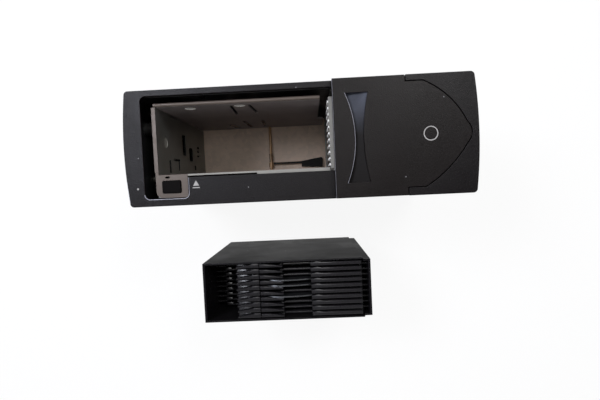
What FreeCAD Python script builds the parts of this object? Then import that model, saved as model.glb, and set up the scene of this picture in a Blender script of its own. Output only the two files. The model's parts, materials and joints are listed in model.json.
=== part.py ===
import FreeCAD, Part
import math
import os

# Car disc changer that takes a ten-tray magazine. Millimetres.
# The unit stands on its rear panel with its front face up: +X is its right, +Y its top side and +Z comes
# out of the front. z = 0 is the rear face, and the origin is the middle of that face. The magazine stands
# beside it with its tray mouth up.

# ---- Discs, trays and magazine ----
disc_diameter = 120.0
disc_thickness = 1.2
tray_count = 10
tray_pitch = 4.7
tray_thickness = 2.6
tray_rim = 2.5                    # tray edge outside its disc, at the front and both sides
tray_rear_rim = 2.9
tray_pocket_depth = 1.4
tray_travel = 88.0                # how far a tray runs out of the magazine
tray_face_gap = 1.15              # outermost tray to the magazine's face wall
tray_end_gap = 0.6                # tray to the back wall, and its front edge below the mouth
magazine_face_wall = 1.6
magazine_end_wall = 2.0
magazine_back_wall = 2.0
magazine_lever_space = 8.0        # free width at the lever end of the trays
magazine_tab_space = 4.5          # free width at the handle end of the trays
magazine_handle_step = 1.3        # the handle end is lower by this on both faces
magazine_handle_length = 6.2
rib_hold = 1.5                    # how far the ribs reach under the trays' edges
rib_thickness = 1.4
tray_corner_width = 18.2          # tray corner set back beside its hook
tray_corner_depth = 40.0
tray_hook_width = 19.2
tray_hook_gap = 0.8
tray_hook_length = 10.0
tray_recess_start = 57.4          # finger recess, from the tray's left edge
tray_recess_width = 24.0
tray_recess_depth = 9.0
tray_inner_corner = 1.0
tray_lip_depth = 6.0              # the shaped bars along the front edge
tray_lip_inset = 1.3              # the last bar ends short of the tray's right edge
tray_bump_height = 0.8
tray_bump_width = 5.4
tray_bump_slope = 4.0
tray_tip_thickness = 0.9          # hook tip and the bar's end at the recess
tray_window_radius = 17.0         # clears the turntable and the pickup from below
tray_window_reach = 30.0
pocket_gap = 0.5                  # disc to the pocket wall
magazine_x = -15.7                # where the loose magazine stands
magazine_y = -120.0

# ---- Sheet metal case ----
case_width = 254.4
case_height = 82.4
case_depth = 156.0
case_sheet = 1.0
cover_skirt = 12.0
rear_flange = 8.0
sheet_gap = 0.1                   # between nested sheets
screw_radius = 1.5
screw_head_radius = 2.8
screw_head_height = 1.2
screw_length = 5.0
screw_hole_gap = 0.05
mount_thread_radius = 2.1         # tapping size of the M5 side mounts
mount_nut_radius = 4.5
mount_nut_height = 4.0
mount_spacing = 80.0
mount_hole_gap = 0.65
mount_height = -22.0
mount_rear = 38.0

# ---- Front ----
bezel_width = 254.0               # at its corners
bezel_height = 86.0
bezel_bow = 2.3                   # the sides swell out by this at mid height
bezel_depth = 12.0
bezel_wall = 2.0
bezel_corner = 3.0
bezel_tongue = 6.0                # lugs that reach back into the case
bezel_lug_width = 18.0
bezel_bottom_lugs = (-60.0, 60.0)
bezel_top_lug = -80.0
opening_side_margin = 11.8        # bezel corner to the opening's left edge
opening_top_margin = 4.5
opening_corner = 4.0
notch_side_margin = 2.7           # beside and under the eject bracket
notch_foot_margin = 0.5
notch_corner = 3.5
door_gap = 0.3                    # door face to bezel face, and to the end cap
door_height = 6.7
door_wall = 1.8
door_bay_margin = 2.8             # open door's left edge right of the bay
door_edge = 0.2                   # door set in from the bezel's top and bottom
door_shoulder_inset = 49.2        # from the bezel's right corner to where the door narrows
door_shoulder_drop = 5.0          # bezel edge to the narrow part, at the top
door_shoulder_rise = 6.2          # and at the bottom
door_nose_inset = 36.5            # from the bezel's right corner to where the nose starts
door_nose_side = (20.1, 11.1)     # inset, and drop from the shoulder's top
door_nose_bend = (6.2, 7.2)       # inset, and height above the tip
door_nose_tip = (3.1, 0.4)        # inset, and height
end_cap_gap = 0.5
grip_end_left = 35.2              # hourglass finger grip: its ends and its waist
grip_end_right = 51.3
grip_waist_left = 41.6
grip_waist_right = 47.6
grip_half_height = 32.0
grip_depth = 4.6
grip_shallow = 0.9
grip_wall = 1.4
shutter_thickness = 1.3
shutter_right_gap = 0.5
shutter_overlap = 0.8             # under the end cap's side when it is shut
shutter_edge = 1.3                # how far the shutter runs past the opening's top and bottom
shutter_gap = 0.3
rail_thickness = 1.6
rail_web = 1.3
rail_left = -60.0
foot_inset = 4.5                  # door foot that rides in the top rail
foot_length = 12.0
foot_thickness = 1.6

# ---- Inner chassis ----
plate = 1.2
bay_side_margin = 20.0            # case side to the bay wall
bay_rise = 6.1                    # bay centre above the case centre
bay_back = 16.0
bay_side_clearance = 1.0
bay_face_clearance = 0.5
chassis_front = 160.0
chassis_floor_margin = 4.2        # case to chassis, at the bottom, top and right
chassis_top_margin = 2.0
chassis_side_margin = 9.0
magazine_stop = 21.8              # where the inserted magazine's inner end comes to rest
strip_width = 2.0
comb_spine_width = 1.7
comb_tooth = 1.5
comb_tooth_length = 24.0
comb_reach = 0.3                  # teeth into the bay
comb_end_gap = 0.3
hem_height = 3.0
hem_margin = 5.8                  # hem's right end short of the bay's right side
ceiling_cut_rear = 64.0           # the ceiling is cut away right of the hem, from here to the front
side_flange_width = 2.8
tab_margin = 2.3                  # eject bracket past the bay's left side
tab_width = 24.4
tab_rise = 1.9
tab_foot = 0.1
tab_corner = 5.0
flange_height = 2.6
flange_step_x = -32.0             # the flange under the bay is narrower left of here
flange_narrow = 1.4
dimple_radius = 4.3
dimple_depth = 0.5
side_dimple = (7.2, 139.2)        # Y and Z
side_cuts = [(-6.6, -4.6, 105.0, 123.0, 0.9), (-15.0, -4.6, 106.4, 109.4, 0.9),
             (-0.3, 18.7, 85.6, 95.0, 1.5), (-4.6, 8.6, 63.4, 75.4, 4.0),
             (9.4, 11.7, 38.4, 47.0, 1.0), (5.5, 7.4, 38.8, 47.6, 0.8), (0.9, 2.8, 39.6, 48.4, 0.8),
             (-12.9, -8.0, 53.8, 59.0, 1.5), (30.4, 31.2, 106.0, 126.0, 0.3)]
top_dimples = [(-83.7, 147.0), (-44.5, 149.0)]    # X and Z
top_slots = [(-51.3, 149.0, -53.0, 109.0, 1.4), (-36.8, 148.5, -35.2, 113.5, 1.4),
             (-69.8, 46.0, -67.0, 24.0, 3.0), (-53.9, 69.0, -51.9, 25.0, 1.6),
             (-35.9, 66.0, -37.5, 29.0, 1.4)]    # two ends, X and Z, and the radius
back_lug_start = 36.2             # lug on the back plate, from the bay's left side
back_lug_width = 8.0
back_lug_height = 3.1
back_lug_drop = 2.0
back_lug_depth = 1.0

# ---- Eject button and ejector ----
button_width = 14.0
button_height = 9.2
button_proud = 1.5
button_gap = 0.35
button_travel = 2.5
button_corner = 1.2
button_skirt = 3.0
button_inset = 12.0               # button's middle from the bracket's left and bottom edges
button_rise = 8.25
spring_wire = 0.5
spring_radius = 2.6
spring_turns = 5
coil_runs_per_turn = 12
coil_sides = 8                    # flats round the wire
torsion_length = 9.0              # return spring round the ejector shaft
torsion_turns = 6
switch_depth = 9.0
shaft_radius = 1.5
ejector_x = -33.5
ejector_reach = 56.0
ejector_arm_low = -9.4
ejector_arm_tall = 2.6
ejector_block_start = 32.9        # from the shaft to the block that pushes the magazine
ejector_block_left = (-12.7, -6.8)
ejector_block_right = (-13.9, -3.0)
ejector_thickness = 3.0
ejector_swing = 40.0
hub_radius = 2.6
running_gap = 0.06                # shaft in its hole

# ---- Magazine latch ----
latch_z = 131.5
latch_thickness = 3.4
latch_low = -16.6
latch_tall = 9.4
latch_pivot_margin = 4.6          # pivot left of the side plate
latch_pivot_y = -4.0

# ---- Player mechanism ----
mech_gap = 0.5
deck_thickness = 1.2
deck_left = 29.0
deck_margin = 1.9
deck_rear = 30.0
deck_front = 155.4
deck_drop = 3.2                   # extra travel that lowers the turntable under the lowest tray
seat_height = 11.4                # turntable seat above the deck
turntable_radius = 14.0
turntable_thickness = 2.0
turntable_boss_radius = 7.4
turntable_boss_height = 1.75
motor_radius = 12.0
motor_height = 8.4
motor_shaft_radius = 1.0
motor_shaft_gap = 0.05
post_radius = 2.0
post_margin = 5.0                 # chassis side to the posts' axis
post_inset = 6.0                  # posts from the deck's rear and front edges
post_gap = 0.06
bushing_radius = 4.5
bushing_height = 9.0
pin_radius = 1.5
cam_slot_gap = 0.2
cam_shift = 35.0                  # how far the cam slide runs over the full lift
cam_margin = 8.0
cam_pin_x = 72.0
cam_sheet = 1.0
cam_front = 157.1
cam_rear = 24.0
rack_left = -22.0
rack_width = 10.0
rack_z = 70.0
gear_module = 0.8
lift_gear_teeth = 24
lift_pinion_teeth = 10
gear_thickness = 2.2
gear_backlash = 0.16              # taken off each tooth's thickness
gear_stud_radius = 1.5
lift_gear_x = -2.0
lift_motor_radius = 9.0
lift_motor_height = 8.0
sled_travel = 33.0
sled_start = 24.0                 # lens to spindle, at the inner end
pickup_half_length = 7.0
pickup_half_width = 19.0
pickup_height = 7.6
lens_radius = 3.4
lens_height = 0.9
sled_rod_offset = 16.0
sled_rod_rise = 4.2
clamp_radius = 11.0
clamp_thickness = 2.4
clamp_drop = 4.75                 # clamp to disc when the arm is up
arm_thickness = 1.2
arm_width = 19.0
arm_pivot_margin = 4.8
arm_pivot_drop = 4.4
arm_ear_half_span = 31.0
clamp_neck_radius = 4.0
clamp_neck_gap = 0.06
loader_z = 46.0
loader_length = 9.0
loader_width = 8.0
loader_height = 5.0
loader_travel = 70.0
loader_reach = 5.0

# ---- Suspension ----
dial_radius = 11.0
dial_gap = 0.3
dial_flange = 2.0
dial_slot = 2.4
dial_y = 6.0
dial_z = 76.0
spring_spread = 26.0              # springs behind and in front of the dial
damper_radius = 5.5
damper_rise = 14.0                # dampers above, behind and in front of the dial
damper_rear = 50.0
damper_front = 55.0
float_spring_radius = 2.4
float_spring_wire = 0.8
float_spring_length = 26.0
float_spring_turns = 12

# ---- Electronics and socket ----
board_thickness = 1.6
board_left = -82.0
board_right = -28.0
board_rear = 24.0
board_front = 126.0
board_standoff = 3.0
board_chips = [(10, 36, 14, 14, 2), (32, 60, 18, 8, 2), (34, 16, 10, 18, 2), (8, 76, 8, 12, 2),
               (6, 0, 26, 5, 6), (0, 54, 5, 18, 6)]    # left, rear, width, depth, height
board_cans = [(46, 80, 4, 9), (46, 92, 4, 9), (30, 88, 3, 7), (20, 88, 3, 7)]    # middle, radius, height
socket_x = 70.0
socket_y = -18.0
socket_radius = 8.6
socket_wall = 0.8
socket_insert_depth = 6.0
socket_pin_radius = 0.8
socket_pins = 8

# ---- Worked out from the sizes above ----
V = FreeCAD.Vector
half_w = case_width / 2
half_h = case_height / 2
bezel_front = case_depth + bezel_depth
bezel_half_h = bezel_height / 2
bezel_half_w = bezel_width / 2
door_back = bezel_front + door_gap
bay_left = -half_w + bay_side_margin
chassis_bottom = -half_h + chassis_floor_margin
chassis_top = half_h - chassis_top_margin
chassis_right = half_w - chassis_side_margin
deck_right = chassis_right - deck_margin
post_x = chassis_right - post_margin
arm_pivot_x = chassis_right - arm_pivot_margin
latch_pivot_x = bay_left - plate - latch_pivot_margin
door_front = door_back + door_height
tray_width = disc_diameter + 2 * tray_rim
stack_height = (tray_count - 1) * tray_pitch + tray_thickness
magazine_height = stack_height + 2 * (tray_face_gap + magazine_face_wall)
magazine_length = tray_width + magazine_lever_space + magazine_tab_space + 2 * magazine_end_wall
tray_depth = tray_rim + disc_diameter + tray_rear_rim
magazine_depth = tray_depth + magazine_back_wall + 2 * tray_end_gap
bay_width = magazine_depth + 2 * bay_side_clearance
bay_right = bay_left + bay_width
bay_half_h = magazine_height / 2 + bay_face_clearance
bay_top = bay_rise + bay_half_h
bay_bottom = bay_rise - bay_half_h
hem_right = bay_right - hem_margin
tab_left = bay_left - tab_margin
tab_right = tab_left + tab_width
tab_top = bay_bottom + tab_rise
tab_bottom = chassis_bottom - tab_foot
button_x = tab_left + button_inset
button_y = tab_bottom + button_rise
opening_left = -bezel_half_w + opening_side_margin
opening_top = bezel_half_h - opening_top_margin
opening_bottom = bay_bottom - flange_height
notch_right = tab_right + notch_side_margin
notch_bottom = tab_bottom - notch_foot_margin
door_left = bay_right + door_bay_margin
door_shoulder = bezel_half_w - door_shoulder_inset
door_shoulder_top = bezel_half_h - door_shoulder_drop
door_shoulder_bottom = -bezel_half_h + door_shoulder_rise
level_low = bay_rise - (tray_count - 1) / 2 * tray_pitch
lift_travel = (tray_count - 1) * tray_pitch + deck_drop
seat_y = level_low - disc_thickness / 2 - deck_drop
deck_top = seat_y - seat_height
deck_bottom = deck_top - deck_thickness
disc_from_mouth = tray_end_gap + tray_rim + disc_diameter / 2
spindle_x = bay_right - bay_side_clearance - disc_from_mouth + tray_travel
magazine_front = magazine_stop + magazine_length
spindle_z = (magazine_stop + magazine_end_wall + magazine_lever_space + tray_width / 2)
shutter_front = bezel_front - bezel_wall - shutter_gap
shutter_back = shutter_front - shutter_thickness
door_travel = door_left - opening_left
opening_right = door_left + foot_inset + foot_length + 2 * shutter_gap
shutter_left = opening_right + shutter_gap
shutter_right = bezel_half_w - bezel_wall - shutter_right_gap
shutter_travel = shutter_right - door_left - shutter_overlap + end_cap_gap
shutter_low = opening_bottom - shutter_edge
shutter_high = opening_top + shutter_edge
base_top = chassis_bottom + plate


# ---- Drawing helpers ----
def box(x0, x1, y0, y1, z0, z1):
    return Part.makeBox(x1 - x0, y1 - y0, z1 - z0, V(x0, y0, z0))


def on_plane(axis, a, b, level):
    """A point given by its two in-plane coordinates, in X, Y, Z order, and its level along the axis."""
    if axis == "x":
        return V(level, a, b)
    if axis == "y":
        return V(a, level, b)
    return V(a, b, level)


def along(axis, length):
    return on_plane(axis, 0, 0, length)


def disc(axis, a, b, radius, low, high):
    """A cylinder along an axis between two levels."""
    return Part.makeCylinder(radius, high - low, on_plane(axis, a, b, low), along(axis, 1))


def tube(axis, a, b, outer, inner, low, high):
    return disc(axis, a, b, outer, low, high).cut(disc(axis, a, b, inner, low, high))


def corner_arc(before, corner, after, radius):
    """Tangent arc at a corner of an outline: its start, middle and end."""
    to_before = (before - corner).normalize()
    to_after = (after - corner).normalize()
    half = to_before.getAngle(to_after) / 2
    reach = radius / math.tan(half)
    centre_way = (to_before + to_after).normalize()
    centre = corner + centre_way * (radius / math.sin(half))
    middle = centre - centre_way * radius
    return corner + to_before * reach, middle, corner + to_after * reach


def outline(axis, corners, level):
    """Closed wire through corners (a, b) or (a, b, rounding radius)."""
    points = [on_plane(axis, c[0], c[1], level) for c in corners]
    radii = [c[2] if len(c) > 2 else 0 for c in corners]
    edges = []
    stops = []
    for i, point in enumerate(points):
        if radii[i]:
            stops.append(corner_arc(points[i - 1], point, points[(i + 1) % len(points)], radii[i]))
        else:
            stops.append((point, None, point))
    for i, (start, middle, end) in enumerate(stops):
        if middle is not None:
            edges.append(Part.Arc(start, middle, end).toShape())
        following = stops[(i + 1) % len(stops)][0]
        if (following - end).Length > 1e-6:
            edges.append(Part.makeLine(end, following))
    return Part.Wire(edges)


def prism(axis, corners, low, high):
    return Part.Face(outline(axis, corners, low)).extrude(along(axis, high - low))


def panel(axis, a0, a1, b0, b1, radius, low, high):
    """A plate with four equal rounded corners."""
    return prism(axis, [(a0, b0, radius), (a1, b0, radius), (a1, b1, radius), (a0, b1, radius)], low, high)


def slot(axis, a0, b0, a1, b1, radius, low, high):
    """A straight slot with round ends between two centres."""
    length = math.hypot(a1 - a0, b1 - b0)
    side_a = -(b1 - b0) / length * radius
    side_b = (a1 - a0) / length * radius
    end_a = (a1 - a0) / length * radius
    end_b = (b1 - b0) / length * radius

    def at(a, b):
        return on_plane(axis, a, b, low)

    wire = Part.Wire([
        Part.makeLine(at(a0 + side_a, b0 + side_b), at(a1 + side_a, b1 + side_b)),
        Part.Arc(at(a1 + side_a, b1 + side_b), at(a1 + end_a, b1 + end_b),
                 at(a1 - side_a, b1 - side_b)).toShape(),
        Part.makeLine(at(a1 - side_a, b1 - side_b), at(a0 - side_a, b0 - side_b)),
        Part.Arc(at(a0 - side_a, b0 - side_b), at(a0 - end_a, b0 - end_b),
                 at(a0 + side_a, b0 + side_b)).toShape()])
    return Part.Face(wire).extrude(along(axis, high - low))


def joined(pieces):
    """One solid from touching or overlapping pieces."""
    return pieces[0].multiFuse(pieces[1:]).removeSplitter()


def group(pieces):
    """Separate solids that share one node."""
    return Part.makeCompound(pieces)


def coil(radius, wire, length, turns, start, axis):
    """Wire spring of short straight runs that starts at a point and winds along an axis."""
    runs = turns * coil_runs_per_turn
    points = []
    for i in range(runs + 1):
        turn = 2 * math.pi * i / coil_runs_per_turn
        points.append(V(radius * math.cos(turn), radius * math.sin(turn), length * i / runs))
    across = V(1, 0, 0)
    upward = (points[1] - points[0]).cross(across).normalize()
    corners = []
    for i in range(coil_sides + 1):
        turn = 2 * math.pi * i / coil_sides
        corners.append(points[0] + (across * math.cos(turn) + upward * math.sin(turn)) * (wire / 2))
    section = Part.makePolygon(corners)
    spring = Part.makePolygon(points).makePipeShell([section], True, False, 1)
    spring.Placement = FreeCAD.Placement(start, FreeCAD.Rotation(V(0, 0, 1), axis))
    return spring


def involute_point(base_radius, angle):
    reach = base_radius * angle
    return (base_radius * math.cos(angle) + reach * math.sin(angle),
            base_radius * math.sin(angle) - reach * math.cos(angle))


def gear(module, teeth, x, z, low, high, bore, phase):
    """Spur gear about Y with 20 degree involute teeth; phase turns a tooth's middle away from +X."""
    pressure = math.radians(20)
    pitch_r = module * teeth / 2
    base_r = pitch_r * math.cos(pressure)
    tip_r = pitch_r + module
    root_r = pitch_r - 1.25 * module
    half_tooth = (math.pi * module / 2 - gear_backlash) / 2 / pitch_r
    flank_turn = half_tooth + math.tan(pressure) - pressure
    tip_angle = math.sqrt((tip_r / base_r) ** 2 - 1)
    flank = []
    for step in range(6):
        px, pz = involute_point(base_r, tip_angle * step / 5)
        flank.append((math.hypot(px, pz), flank_turn - math.atan2(pz, px)))
    corners = []
    for tooth in range(teeth):
        middle = phase + 2 * math.pi * tooth / teeth
        corners.append((root_r, middle - flank[0][1]))
        corners += [(r, middle - turn) for r, turn in flank if r > root_r]
        corners += [(r, middle + turn) for r, turn in reversed(flank) if r > root_r]
        corners.append((root_r, middle + flank[0][1]))
    points = [(x + r * math.cos(t), z + r * math.sin(t)) for r, t in corners]
    body = prism("y", points, low, high)
    return body.cut(disc("y", x, z, bore, low, high))


def rack_teeth(module, count, x, z, low, high):
    """Outline of a rack whose pitch line is z, with its teeth towards +Z and a tooth centred at x."""
    pressure = math.radians(20)
    half_pitch = (math.pi * module / 2 - gear_backlash) / 2
    tip = half_pitch - module * math.tan(pressure)
    foot = half_pitch + 1.25 * module * math.tan(pressure)
    pieces = []
    for tooth in range(count):
        middle = x + tooth * math.pi * module
        pieces.append(prism("y", [(middle - foot, z - 1.25 * module), (middle - tip, z + module),
                                  (middle + tip, z + module), (middle + foot, z - 1.25 * module)],
                            low, high))
    return pieces


# ---- Front ----
def bezel_outline(level):
    """Outer outline of the front: flat top and bottom, swollen sides, round corners."""
    w, h, r = bezel_half_w, bezel_half_h, bezel_corner
    edges = []
    for side in (1, -1):
        diagonal = r * (1 - math.sqrt(0.5))
        edges += [
            Part.makeLine(V(-side * (w - r), side * h, level), V(side * (w - r), side * h, level)),
            Part.Arc(V(side * (w - r), side * h, level), V(side * (w - diagonal), side * (h - diagonal), level),
                     V(side * w, side * (h - r), level)).toShape(),
            Part.Arc(V(side * w, side * (h - r), level), V(side * (w + bezel_bow), 0, level),
                     V(side * w, -side * (h - r), level)).toShape(),
            Part.Arc(V(side * w, -side * (h - r), level),
                     V(side * (w - diagonal), -side * (h - diagonal), level),
                     V(side * (w - r), -side * h, level)).toShape()]
        if side == 1:
            edges.append(None)
    return Part.Wire([edges[0], edges[1], edges[2], edges[3],
                      Part.makeLine(V(w - r, -h, level), V(-(w - r), -h, level)),
                      edges[8], edges[7], edges[6]])


def raised(wire, height):
    return Part.Face(wire).extrude(V(0, 0, height))


def shrunk(wire, inset):
    return wire.makeOffset2D(-inset)


def door_outline(level):
    top = bezel_half_h - door_edge
    nose_x = bezel_half_w - door_nose_inset
    side_x, side_y = bezel_half_w - door_nose_side[0], door_shoulder_top - door_nose_side[1]
    tip_x, tip_y = bezel_half_w - door_nose_tip[0], door_nose_tip[1]
    bend_x, bend_y = bezel_half_w - door_nose_bend[0], tip_y + door_nose_bend[1]
    corners = [V(nose_x, door_shoulder_bottom, level), V(door_shoulder, door_shoulder_bottom, level),
               V(door_shoulder, -top, level), V(door_left, -top, level), V(door_left, top, level),
               V(door_shoulder, top, level), V(door_shoulder, door_shoulder_top, level),
               V(nose_x, door_shoulder_top, level)]
    edges = [Part.makeLine(a, b) for a, b in zip(corners, corners[1:])]
    bend_top = V(bend_x, bend_y, level)
    bend_bottom = V(bend_x, 2 * tip_y - bend_y, level)
    side_bottom = V(side_x - 1.6, door_shoulder_bottom + door_shoulder_top - side_y, level)
    edges.append(Part.Arc(corners[-1], V(side_x, side_y, level), bend_top).toShape())
    edges.append(Part.Arc(bend_top, V(tip_x, tip_y, level), bend_bottom).toShape())
    edges.append(Part.Arc(bend_bottom, side_bottom, corners[0]).toShape())
    return Part.Wire(edges)


def grip_outline(level):
    h = grip_half_height
    left = Part.Arc(V(grip_end_left, h, level), V(grip_waist_left, 0, level), V(grip_end_left, -h, level))
    right = Part.Arc(V(grip_end_right, -h, level), V(grip_waist_right, 0, level), V(grip_end_right, h, level))
    return Part.Wire([left.toShape(), Part.makeLine(V(grip_end_left, -h, level), V(grip_end_right, -h, level)),
                      right.toShape(), Part.makeLine(V(grip_end_right, h, level), V(grip_end_left, h, level))])


def make_front_bezel():
    back = case_depth
    body = raised(bezel_outline(back), bezel_depth)
    body = body.cut(raised(shrunk(bezel_outline(back), bezel_wall), bezel_depth - bezel_wall))
    r, n = opening_corner, notch_corner
    skin_low = bezel_front - bezel_wall
    body = body.cut(prism("z", [
        (opening_left, opening_top, r), (opening_right, opening_top), (opening_right, opening_bottom),
        (notch_right, opening_bottom), (notch_right, notch_bottom, n), (opening_left, notch_bottom, n)],
        skin_low, bezel_front))
    inner_x = half_w - case_sheet - sheet_gap
    inner_y = half_h - case_sheet - sheet_gap
    t = rail_thickness
    half = bezel_lug_width / 2
    edge_y = bezel_half_h - bezel_wall / 2
    edge_x = bezel_half_w + bezel_bow - bezel_wall / 2
    lugs = []
    for x in bezel_bottom_lugs:
        lugs += [box(x - half, x + half, -inner_y, -inner_y + t, back - bezel_tongue, back + t),
                 box(x - half, x + half, -edge_y, -inner_y + t, back, back + t)]
    x = bezel_top_lug
    lugs += [box(x - half, x + half, inner_y - t, inner_y, back - bezel_tongue, back + t),
             box(x - half, x + half, inner_y - t, edge_y, back, back + t)]
    for side in (-1, 1):
        near, far = sorted((side * (inner_x - t), side * inner_x))
        lugs.append(box(near, far, -half, half, back - bezel_tongue, back + t))
        near, far = sorted((side * (inner_x - t), side * edge_x))
        lugs.append(box(near, far, -half, half, back, back + t))
    return joined([body] + lugs)


def make_end_cap():
    blank = raised(bezel_outline(bezel_front), door_front - bezel_front)
    left = door_shoulder + end_cap_gap
    blank = blank.cut(box(-case_width, left, -case_height, case_height, bezel_front, door_front))
    room = door_outline(bezel_front).makeOffset2D(end_cap_gap)
    return blank.cut(raised(room, door_front - bezel_front))


def make_sliding_door():
    door = raised(door_outline(door_back), door_height)
    cavity = raised(shrunk(door_outline(door_back), door_wall), door_height - door_wall)
    well = raised(grip_outline(door_back).makeOffset2D(grip_wall), door_height)
    door = door.cut(cavity.cut(well))
    ramp = prism("y", [(grip_end_left - 1, door_front - grip_depth), (grip_end_left - 1, door_front),
                       (grip_end_right + 1, door_front), (grip_end_right + 1, door_front - grip_shallow)],
                 -case_height, case_height)
    door = door.cut(raised(grip_outline(door_back), door_height).common(ramp))
    x0 = door_left + foot_inset
    high = opening_top - shutter_gap
    stem = box(x0, x0 + foot_length, high - foot_thickness, high, shutter_back, door_front - door_wall)
    tongue = box(x0, x0 + foot_length, high - foot_thickness, shutter_high, shutter_back, shutter_front)
    return joined([door, stem, tongue])


def make_dust_shutter():
    return box(shutter_left, shutter_right, shutter_low, shutter_high, shutter_back, shutter_front)


def make_shutter_rails():
    lip_front = shutter_back - shutter_gap
    lip_back = lip_front - rail_thickness
    skin_back = bezel_front - bezel_wall
    roof = bezel_half_h - bezel_wall
    right = bezel_half_w - bezel_wall - bezel_corner
    top = box(opening_left, right, opening_top - shutter_gap, roof, lip_back, lip_front)
    web_top = shutter_low - shutter_gap
    web = box(rail_left, right, web_top - rail_web, web_top, lip_back, skin_back)
    lip = box(rail_left, right, web_top, opening_bottom - shutter_gap, lip_back, lip_front)
    return group([top, joined([web, lip])])


# ---- Case ----
def side_screw_places():
    skirt_y = half_h - case_sheet - sheet_gap - cover_skirt / 2
    flange_z = (case_sheet + rear_flange) / 2
    return [(skirt_y, 30), (skirt_y, 120), (-25, flange_z), (20, flange_z)]


def mount_places():
    return [(mount_height, mount_rear), (mount_height, mount_rear + mount_spacing)]


def cut_side_holes(body, places, radius):
    for y, z in places:
        body = body.cut(disc("x", y, z, radius, -case_width, case_width))
    return body


def spring_places():
    return [dial_z - spring_spread, dial_z + spring_spread]


def make_bottom_cover():
    outer = box(-half_w, half_w, -half_h, half_h - case_sheet - sheet_gap, case_sheet, case_depth)
    inner = box(-half_w + case_sheet, half_w - case_sheet, -half_h + case_sheet, case_height,
                case_sheet, case_depth)
    body = cut_side_holes(outer.cut(inner), side_screw_places(), screw_radius + screw_hole_gap)
    body = cut_side_holes(body, mount_places(), mount_thread_radius + mount_hole_gap)
    body = cut_side_holes(body, [(dial_y, dial_z)], dial_radius + dial_gap)
    hooks = []
    for z in spring_places():
        for side, reach in ((-1, left_spring_x() - 3), (1, right_spring_x() - 3)):
            wall = side * (half_w - case_sheet)
            low, high = sorted((wall, reach if side == 1 else reach + 6))
            hooks.append(disc("x", spring_top() + 1, z, 1, low, high))
    return joined([body] + hooks)


def make_top_cover():
    roof = box(-half_w, half_w, half_h - case_sheet, half_h, case_sheet, case_depth)
    outer_x = half_w - case_sheet - sheet_gap
    skirts = []
    for side in (-1, 1):
        low, high = sorted((side * outer_x, side * (outer_x - case_sheet)))
        skirts.append(box(low, high, half_h - case_sheet - cover_skirt, half_h - case_sheet,
                          rear_flange + bezel_wall, case_depth - bezel_tongue - bezel_wall))
    return cut_side_holes(joined([roof] + skirts), side_screw_places()[:2], screw_radius + screw_hole_gap)


def make_rear_panel():
    sheet = box(-half_w, half_w, -half_h, half_h, 0, case_sheet)
    x, y, t = half_w - case_sheet - sheet_gap, half_h - case_sheet - sheet_gap, case_sheet
    flange = box(-x, x, -y, y, case_sheet, rear_flange).cut(
        box(-x + t, x - t, -y + t, y - t, case_sheet, rear_flange))
    body = cut_side_holes(joined([sheet, flange]), side_screw_places()[2:], screw_radius + screw_hole_gap)
    return body.cut(disc("z", socket_x, socket_y, socket_radius + sheet_gap, 0, rear_flange))


def make_case_screws():
    screws = []
    for side in (-1, 1):
        for y, z in side_screw_places():
            low, high = sorted((side * half_w, side * (half_w + screw_head_height)))
            head = disc("x", y, z, screw_head_radius, low, high)
            tip, root = sorted((side * (half_w - screw_length), side * half_w))
            screws.append(joined([head, disc("x", y, z, screw_radius, tip, root)]))
    return group(screws)


def make_side_mount_nuts():
    nuts = []
    for side in (-1, 1):
        inner = half_w - case_sheet
        low, high = sorted((side * inner, side * (inner - mount_nut_height)))
        nuts += [tube("x", y, z, mount_nut_radius, mount_thread_radius, low, high) for y, z in mount_places()]
    return group(nuts)


# ---- Suspension ----
def left_spring_x():
    return (bay_left - plate - half_w + case_sheet) / 2


def right_spring_x():
    return (chassis_right + half_w - case_sheet) / 2


def spring_top():
    return dial_y + float_spring_length - dial_radius


def spring_bottom():
    return spring_top() - float_spring_length


def make_suspension_dial(side):
    face = side * (half_w + 0.2)
    flange_face = side * (half_w - case_sheet - dial_gap)
    inner = side * (half_w - case_sheet - dial_gap - dial_flange)
    dial = disc("x", dial_y, dial_z, dial_radius, *sorted((face, flange_face)))
    flange = disc("x", dial_y, dial_z, dial_radius + dial_flange, *sorted((flange_face, inner)))
    cut_low, cut_high = sorted((face, face - side * 1.2))
    groove = box(cut_low, cut_high, dial_y - dial_slot / 2, dial_y + dial_slot / 2,
                 dial_z - dial_radius * 0.8, dial_z + dial_radius * 0.8)
    return joined([dial, flange]).cut(groove)


def make_suspension_dampers():
    left_wall = -half_w + case_sheet
    right_wall = half_w - case_sheet
    pads = []
    y = dial_y + damper_rise
    for z in (dial_z - damper_rear, dial_z + damper_front):
        pads.append(disc("x", y, z, damper_radius, left_wall, bay_left - plate))
        pads.append(disc("x", y, z, damper_radius, chassis_right, right_wall))
    return group(pads)


def make_suspension_springs():
    springs = []
    for x in (left_spring_x(), right_spring_x()):
        for z in spring_places():
            springs.append(coil(float_spring_radius, float_spring_wire,
                                float_spring_length - float_spring_wire, float_spring_turns,
                                V(x, spring_bottom() + float_spring_wire / 2, z), V(0, 1, 0)))
    return group(springs)


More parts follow.
